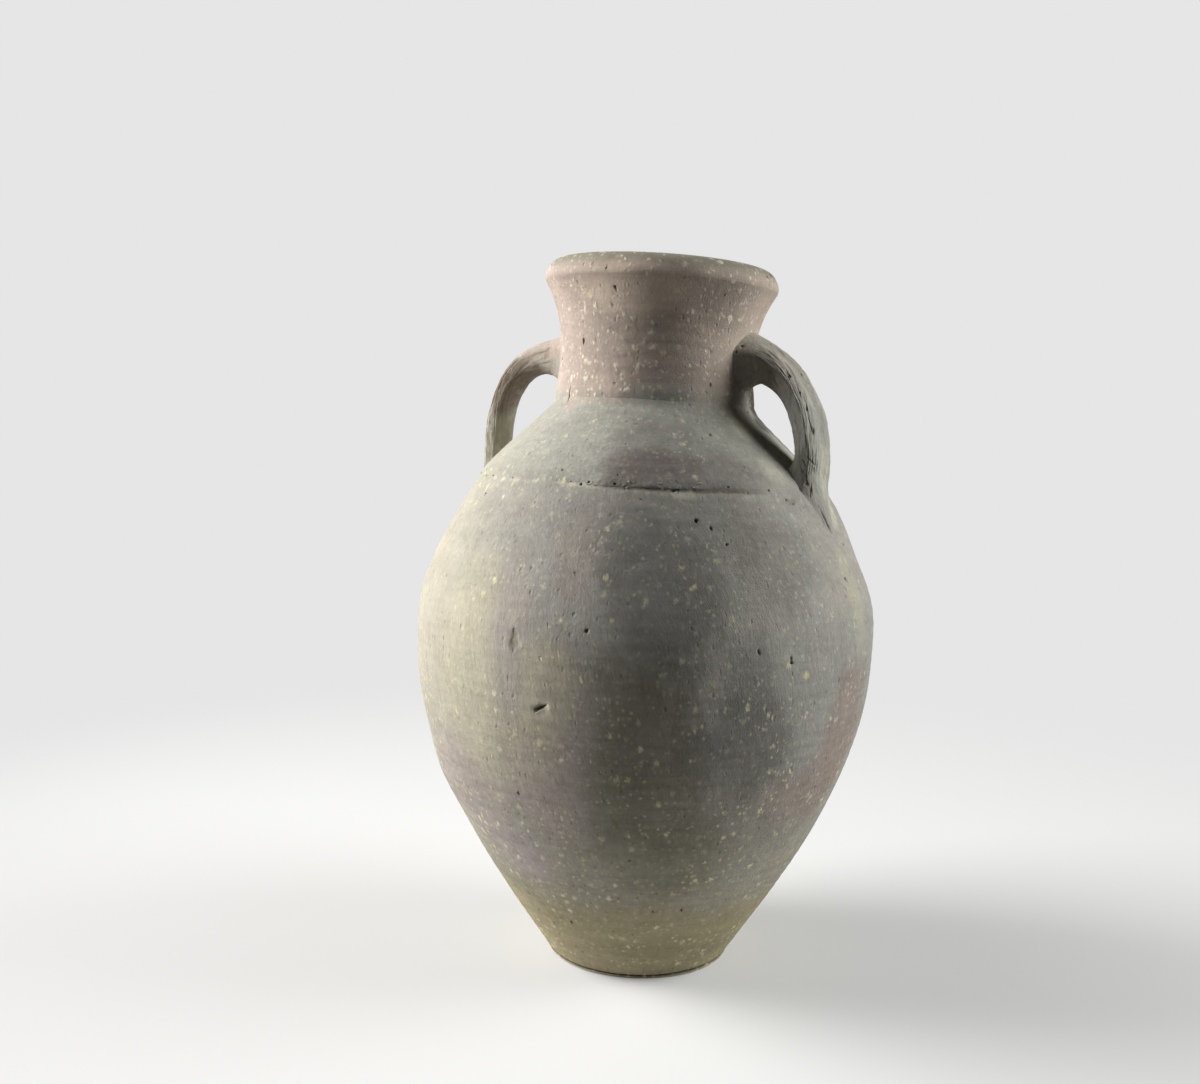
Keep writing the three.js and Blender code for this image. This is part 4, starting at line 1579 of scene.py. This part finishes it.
# %% One clay with its clouds
class Clay(Maker):
    """The nodes of one clay, for the members that lie between two heights in mm."""

    def __init__(self, material, heights):
        material.use_nodes = True
        super().__init__(material.node_tree)
        self.shader = material.node_tree.nodes["Principled BSDF"]
        self.heights = heights
        self.place = self.node("ShaderNodeTexCoord", output=3)
        self.east, self.north, self.height = self.place.parts()
        self.wide = self.cloud(self.place, 11, 3.0, 0.55)
        self.wander = self.cloud(self.place + 3, 26, 4.0, 0.6)
        self.mottle = self.cloud(self.place + 9, 85, 5.0, 0.65)
        self.twisted = self.node(
            "ShaderNodeVectorRotate", {"rotation_type": "Z_AXIS"},
            {"Vector": self.place, "Angle": self.height * 1.3},
        )

    def blend(self, share, under, over):
        """Lays one colour over another by a share."""
        settings = {"data_type": "RGBA"}
        return self.node("ShaderNodeMix", settings, {0: share, 6: under, 7: over}, 2)

    def uneven(self, border, wander, mottle=0.0):
        """A border moved to and fro by the clouds, so that no colour ends on a clean line."""
        if wander:
            border = border + (self.wander - 0.5) * wander
        if mottle:
            border = border + (self.mottle - 0.5) * mottle
        return border

    def above(self, place, up):
        """How far a point lies above a plane of the leaning jar, in metres."""
        return (self.place - tuple(place * MM)).dot(tuple(up))

    def left_by(self, name):
        """A value that the shaping of the clay left on the mesh."""
        return self.node("ShaderNodeAttribute", {"attribute_name": name}, {}, 2)

    def near(self, pixel, full, none):
        """1 within one distance of the place behind a pixel, 0 beyond another, in metres."""
        distance = (self.place - tuple(on_clay(*pixel)[0])).length()
        return 1 - self.uneven(distance, 0.03).step(full, none)

    def stain(self, under, centre, across, up, patch, strength):
        """A stain, painted shade or painted light with an uneven border, left out where it doesn't
        reach these members.
        """
        lowest, highest = self.heights
        if not lowest - 2 * up < centre.z / MM < highest + 2 * up:
            return under
        stretched = (self.place - tuple(centre)) * (1000 / across, 1000 / across, 1000 / up)
        reach = self.uneven(stretched.length(), 1.1, 0.3)
        return self.blend((1 - reach.step(0.45, 1.15)) * strength, under, patch)

    def stains(self, under, table, among=packed_jar):
        """Stains, and a few patches of painted shade and light, each at the place behind a pixel.
        """
        for x, y, *patch in table:
            under = self.stain(under, on_clay(x, y, among)[0], *patch)
        return under


print("a clay knows:", [name for name in vars(Clay) if not name.startswith("_")])

# %% [markdown]
# ## The drift of the fire
# Broad colours come first, one over the other from the belly outwards: cream on the left flank,
# olive low down, rose on the neck. A colour ramp along the height could hold them, but its borders
# are level rings. Here each border is a height that the clouds move, so it wanders round the jar.

# %% The drift of the fire
# heights in metres over which one colour gives way to the next
OLIVE_TO_GREY = (0.05, 0.15)
GREY_TO_GREEN = (0.262, 0.29)
GREEN_TO_ROSE = (0.318, 0.336)


def drift(clay, redness):
    """The broad colours, from the olive foot to the rose neck."""
    level = clay.uneven(clay.height, 0.05)
    rightwards = clay.east * math.cos(VIEW_TURN) + clay.north * math.sin(VIEW_TURN)
    left_flank = (0 - rightwards).step(0.05, 0.12) * level.step(0.09, 0.18)
    paint = clay.blend(clay.wide.step(0.4, 0.6) * 0.6, GREY, PINK)
    paint = clay.blend(level.step(*GREY_TO_GREEN), paint, GREEN_GREY)
    paint = clay.blend(left_flank * 0.6, paint, CREAM)
    paint = clay.blend((1 - level.step(*OLIVE_TO_GREY)) * 0.6, paint, OLIVE)
    rose = clay.blend(clay.wide.step(0.42, 0.6) * 0.7, ROSE, BROWN)
    neck_line = clay.uneven(clay.height, 0.05, 0.014)
    return clay.blend(neck_line.step(*GREEN_TO_ROSE) * redness, paint, rose)


print("rose begins", GREEN_TO_ROSE[0] / MM, "mm up")

# %% [markdown]
# ## Colour along the seam, the foot and the rim
# Near its widest opening the lap's edge gets painted shade, the shadow of its proud lip; at the
# left it is chalky, and below it is smeared pale. The foot is worn olive, the gap over the slab is
# dark, and the crest is greenish. Such marks could be stains too, but they follow an edge of the
# jar, so they are bands on both sides of a plane that leans with it. They are laid after the broad
# colours, which would hide them otherwise.

# %% Along the seam, the foot and the rim
SHADED_OPENING = (692, 487)
CHALKY_RIDGE = (530, 481)
# metres above the seam's plane over which a band begins or ends
LAP_BEGINS = (-0.0028, -0.0012)
BRINK_ENDS = (-0.0008, 0.0018)
RIDGE_ENDS = (-0.0008, 0.001)
SMEAR_BEGINS = (-0.0065, -0.0045)
# metres above the foot, off the slab's edge and above the crest
FOOT_TO_BELLY = (0.038, 0.06)
GAP_ENDS = (0.0003, 0.001)
CREST_BEGINS = (-0.009, -0.002)


def along_seam(clay, paint):
    """Stains and chalk on the lap, painted shade at its open brink, and a pale smear below."""
    from_seam = clay.uneven(clay.above(seam_place, seam_up), 0.0, 0.002)
    on_lap = from_seam.step(*LAP_BEGINS)
    for x, y, across, up, patch, strength in STAINS_ABOVE_SEAM:
        paint = clay.stain(paint, on_clay(x, y)[0], across, up, patch, on_lap * strength)
    opening = clay.near(SHADED_OPENING, 0.022, 0.05)
    # painted shade: the dark line under the proud lip, painted along the brink near the opening
    brink = on_lap * (1 - from_seam.step(*BRINK_ENDS))
    paint = clay.blend(brink * opening * 0.55, paint, PAINTED_SHADE)
    ridge = on_lap * (1 - from_seam.step(*RIDGE_ENDS)) * clay.near(CHALKY_RIDGE, 0.03, 0.05)
    paint = clay.blend(ridge * clay.mottle.step(0.45, 0.62) * 0.5, paint, CHALK)
    smeared = (1 - on_lap) * from_seam.step(*SMEAR_BEGINS) * clay.wander.step(0.45, 0.6)
    return clay.blend(smeared * opening * 0.6, paint, ASH_AND_PAINTED_LIGHT)


def foot_and_rim(clay, paint):
    """The worn foot, the dark gap over the slab and the greenish crest."""
    foot_line = clay.uneven(clay.height, 0.05, 0.016)
    paint = clay.blend(1 - foot_line.step(*FOOT_TO_BELLY), paint, OLIVE_FOOT)
    from_slab = clay.uneven(clay.height - SLAB_EDGE_MM * MM, 0.0, 0.001)
    off_slab = (from_slab * from_slab) ** 0.5
    paint = clay.blend((1 - off_slab.step(*GAP_ENDS)) * 0.75, paint, SOOT_AND_SHADE)
    paint = clay.stains(paint, FOOT_PATCHES)
    over_crest = clay.uneven(clay.above(crest_place, crest_up), 0.006, 0.004)
    return clay.blend(over_crest.step(*CREST_BEGINS) * 0.8, paint, RIM_GREEN)


print(f"the bands are laid {seam_place[2]:.0f} mm up, at the seam, and {crest_place[2]:.0f} mm up")

# %% [markdown]
# ## Grit in the clay
# Lime grit shows as cream specks in two sizes, burnt-out bits leave dark pits, and grime sits in
# the pores. Thousands of small meshes would be needed to model them. A Voronoi texture scatters
# points instead: the distance to the nearest one draws a speck, and the random colour of its cell
# decides whether it is there at all. A rough noise added to the distance makes it ragged.

# %% Grit in the clay
BIG_SPECK_MM = 6.2
SMALL_SPECK_MM = 2.9
PIT_MM = 7.5
GRIME_MM = 3.1


def cells(clay, size_mm, offset, stretch):
    """The distance to the nearest of many scattered points, and two random numbers for it."""
    inputs = {"Vector": clay.place * stretch + offset, "Scale": 1000 / size_mm}
    texture = clay.node("ShaderNodeTexVoronoi", {}, inputs)
    random = Wire(clay, texture.socket.node.outputs["Color"]).parts()
    return texture, random[0], random[1]


def gritty(clay, speckle):
    """Shares of lime, of pits and of grime, and a random hue for the lime."""
    clusters = clay.cloud(clay.place + 6, 30, 3.0, 0.6)
    ragged = (clay.cloud(clay.twisted * (1, 1, 0.6), 640, 3.0, 0.65) - 0.5) * 0.9
    big_cell, big_random, hue = cells(clay, BIG_SPECK_MM, 5.0, (1, 1, 0.85))
    big = (1 - (big_cell + ragged).step(0.02, 0.36)) * big_random.step(0.3, 0.9)
    small_cell, small_random, _ = cells(clay, SMALL_SPECK_MM, 2.0, (1, 1, 0.9))
    small = (1 - (small_cell + ragged).step(0.0, 0.46)) * small_random.step(0.15, 0.85)
    upper = clay.height.step(0.31, 0.34) * 0.4
    richness = (1 - clay.height.step(0.1, 0.24)).between(0.6, 1.1) + upper
    crowded = 0.35 + clusters.step(0.4, 0.62) * 0.85
    lime = (big * 0.85 + small * 0.6) * crowded * richness * speckle
    pit_cell, pit_random, _ = cells(clay, PIT_MM, 9.0, (1, 1, 0.6))
    pits = (1 - (pit_cell + ragged * 0.5).step(0.05, 0.12)) * pit_random.step(0.88, 0.94)
    grime_cell, grime_random, _ = cells(clay, GRIME_MM, 4.0, (1, 1, 0.55))
    grime = (1 - (grime_cell + ragged).step(0.06, 0.3)) * grime_random.step(0.7, 0.92)
    return lime, hue, pits, grime


print("lime specks about", BIG_SPECK_MM, "and", SMALL_SPECK_MM, "mm apart")

# %% [markdown]
# ## From the layers to a fired clay
# The broad colours, the stains, the bands and the grit are laid in that order, and a fine grain
# makes the clay lighter and darker. The hand drew the grain upwards, less on the smooth neck. The
# same grain also moves the surface a little through a Bump node. Real faces would be better still,
# but grain this fine would need many millions of them. The clay is dull, and only its lime is a
# little smoother.

# %% Fire the clays
DULL = 0.94
SHINE = 0.25
BUMP_STRENGTH = 0.75
BUMP_MM = 0.9


def fired_clay(
    material, heights, speckle=1.0, relief=1.0, redness=1.0, drag=1.0, grit=LIME, stains=()
):
    """Builds one clay. Drag is how far the hand drew its grain upwards."""
    clay = Clay(material, heights)
    paint = drift(clay, redness)
    for azimuth, height_mm, *patch in SIDE_PATCHES:
        paint = clay.stain(paint, on_side(azimuth, height_mm)[0], *patch)
    paint = clay.stains(paint, PATCHES)
    paint = clay.stains(paint, stains, packed_handles)
    paint = foot_and_rim(clay, along_seam(clay, paint))

    grain = clay.cloud(clay.twisted * (1, 1, 1 - 0.55 * drag) + 2, 760, 6.0, 0.78)
    drawn = clay.cloud(clay.twisted * (1, 1, 0.16) + 4, 330, 3.0, 0.6)
    wisps = clay.cloud(clay.place * (0.1, 0.1, 1) + 1, 330, 4.0, 0.65)
    bands = clay.cloud(clay.place * (0.06, 0.06, 1) + 7, 36, 2.0, 0.5)
    low_down = 1 - clay.height.step(0.13, 0.24)
    paint = paint * (
        1.0 + (clay.wide - 0.5) * 0.25 + (clay.wander - 0.5) * 0.3 + (clay.mottle - 0.5) * 0.36
        + (grain - 0.5) * 0.6 + (drawn - 0.5) * (0.34 * drag) + (bands - 0.5) * 0.25
        + (wisps - 0.5) * low_down.between(0.18, 0.5)
    )

    lime, hue, pits, grime = gritty(clay, speckle)
    paint = clay.blend(grime * 0.25, paint, SOOT_AND_SHADE)
    paint = clay.blend(pits * 0.85, paint, SOOT_AND_SHADE)
    paint = clay.blend(lime.at_most(0.9), paint, clay.blend(hue, CHALK, grit))
    # painted shade inside the pressed pits and scratches
    paint = clay.blend(clay.left_by("burnt") * 0.85, paint, SOOT_AND_SHADE)
    paint = clay.blend(clay.left_by("crumb") * 0.25, paint, CHALK)

    skin = (
        grain * 0.5 + drawn * (0.28 * drag) + wisps * 0.15 + clay.mottle * 0.4 + lime * 0.25
        - pits * 1.5 - grime * 0.45
    )
    sizes = {"Height": skin, "Strength": BUMP_STRENGTH, "Distance": BUMP_MM * MM * relief}
    bump = clay.node("ShaderNodeBump", {}, sizes)
    clay.tree.links.new(paint.socket, clay.shader.inputs["Base Color"])
    clay.tree.links.new(bump.socket, clay.shader.inputs["Normal"])
    clay.tree.links.new((DULL - lime * 0.08).socket, clay.shader.inputs["Roughness"])
    clay.shader.inputs["Specular IOR Level"].default_value = SHINE
    print(material.name, len(clay.tree.nodes), "nodes")


fired_clay(clays["body_clay"], (0, 330))
fired_clay(clays["neck_clay"], (310, 412), speckle=2.1, drag=0.3, grit=PALE_GRIT)
fired_clay(clays["foot_clay"], (0, 10), speckle=0.6)
fired_clay(
    clays["handle_clay"], (245, 370),
    speckle=0.4, relief=0.7, redness=0.35, stains=HANDLE_STAINS,
)

# %% [markdown]
# ## Floor and backdrop
# A pale sweep stands in for any studio paper: one sheet, curved where floor and backdrop meet, so
# that no line shows behind the vase. A brighter world could make it pale, but that would wash out
# the clay. Instead, its colour is told apart by Light Path: seen by the camera it has an even pale
# tone, and for light that bounces to the vase it is darker.

# %% Floor and backdrop
SWEEP_WIDTH = 9.0
SWEEP_FRONT = -3.0
SWEEP_BACK = 2.4
SWEEP_TOP = 3.6
SWEEP_CURVE = 1.0
PAPER_SEEN = 0.70
PAPER_BOUNCE_NEAR = 0.55
PAPER_BOUNCE_FAR = 0.05
BACKDROP_SEEN = 0.79
# metres from the vase over which the bounce fades and the seen tone turns even
BOUNCE_FADES = (0.1, 0.5)
SEEN_TURNS_EVEN = (0.15, 0.8)
CURVE_PARTS = 12


def sweep():
    """The floor and the backdrop as one sheet, curved where they meet."""
    line = [(SWEEP_FRONT, 0.0)]
    for step in range(CURVE_PARTS + 1):
        angle = math.pi / 2 * step / CURVE_PARTS
        line.append((
            SWEEP_BACK - SWEEP_CURVE + SWEEP_CURVE * math.sin(angle),
            SWEEP_CURVE - SWEEP_CURVE * math.cos(angle),
        ))
    line.append((SWEEP_BACK, SWEEP_TOP))
    points = [
        seen_from_camera(side * SWEEP_WIDTH / 2, away, up) for away, up in line for side in (-1, 1)
    ]
    faces = [(2 * step, 2 * step + 1, 2 * step + 3, 2 * step + 2) for step in range(len(line) - 1)]
    mesh = bpy.data.meshes.new("sweep")
    mesh.from_pydata(points, [], faces)
    mesh.polygons.foreach_set("use_smooth", [True] * len(mesh.polygons))
    paper = bpy.data.materials.new("pale_paper")
    paper.use_nodes = True
    make = Maker(paper.node_tree)
    shader = paper.node_tree.nodes["Principled BSDF"]
    shader.inputs["Roughness"].default_value = 0.9
    shader.inputs["Specular IOR Level"].default_value = 0.1
    seen = make.node("ShaderNodeLightPath")
    east, north, up = make.node("ShaderNodeTexCoord", output=3).parts()
    from_vase = (east * east + north * north) ** 0.5 + up
    bounce = from_vase.step(*BOUNCE_FADES).between(PAPER_BOUNCE_NEAR, PAPER_BOUNCE_FAR)
    tone = bounce + seen * (PAPER_SEEN - bounce)
    paper.node_tree.links.new(tone.socket, shader.inputs["Base Color"])
    far = seen * from_vase.step(*SEEN_TURNS_EVEN).between(0.3, 1.0)
    glow = make.node("ShaderNodeEmission", {}, {"Strength": BACKDROP_SEEN})
    paper_shader = Wire(make, shader.outputs[0])
    mixed = make.node("ShaderNodeMixShader", {}, {0: far, 1: paper_shader, 2: glow})
    output = paper.node_tree.nodes["Material Output"]
    paper.node_tree.links.new(mixed.socket, output.inputs["Surface"])
    mesh.materials.append(paper)
    made = bpy.data.objects.new("sweep", mesh)
    scene.collection.objects.link(made)
    return made


paper_sweep = sweep()
print("the sweep has", len(paper_sweep.data.polygons), "faces")

# %% [markdown]
# ## Light
# In the photograph both flanks of the vase are light and its middle is dark. So two soft boxes
# stand at its sides, level with it, the left one the stronger. A low one at the right lifts the
# shade under the belly. One large light above would flatten the jar and lose its grain.

# %% Light
AIM = Vector((0, 0, 0.2))
WARM = (1.0, 0.985, 0.96)
COOL = (0.985, 1.0, 0.975)
WORLD_STRENGTH = 0.04


def soft_light(name, place, size, watts, shade):
    """A broad square lamp that faces the vase and isn't seen itself."""
    lamp = bpy.data.lights.new(name, "AREA")
    lamp.size = size
    lamp.energy = watts
    lamp.color = shade
    made = bpy.data.objects.new(name, lamp)
    scene.collection.objects.link(made)
    made.location = seen_from_camera(*place)
    made.rotation_euler = (AIM - made.location).to_track_quat("-Z", "Y").to_euler()
    made.visible_camera = False
    print(f"{name}: {watts} watts from {made.location.length:.1f} m")


soft_light("window_left", (-2.7, 0.38, 1.47), 1.8, 208, WARM)
soft_light("window_right", (2.67, 0.0, 1.56), 1.8, 80, COOL)
soft_light("low_right", (3.0, 0.0, 0.4), 1.6, 38, COOL)
world = bpy.data.worlds.new("studio")
scene.world = world
world.use_nodes = True
background = world.node_tree.nodes["Background"]
background.inputs["Color"].default_value = (1, 1, 1, 1)
background.inputs["Strength"].default_value = WORLD_STRENGTH
scene.view_settings.view_transform = "Standard"

# %% [markdown]
# ## Every member stands for its solid
# Each finished member rides with the vase and replaces its packed solid. The members could be
# joined into one mesh, but then nobody could lift a handle off or give the neck another clay.

# %% Tie the members to the frame
members = {
    "base_disc": (foot_slab, "foot_clay"),
    "lower_body": (lower_wall, "body_clay"),
    "shoulder": (shoulder_wall, "body_clay"),
    "neck": (neck_wall, "neck_clay"),
    "shoulder_seam_coil": (shoulder_inside_coil, "body_clay"),
    "neck_seam_coil": (neck_inside_coil, "neck_clay"),
    "handle_right": (right_strap, "handle_clay"),
    "handle_left": (left_strap, "handle_clay"),
    **{node: (bed, "handle_clay") for node, bed in beds.items()},
}
for node, (member, slot) in members.items():
    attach(member, "root")
    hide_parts(node)
print(len(members), "members tied")

# %% [markdown]
# ## Sizes
# The finished vase has to keep the packed model's size.
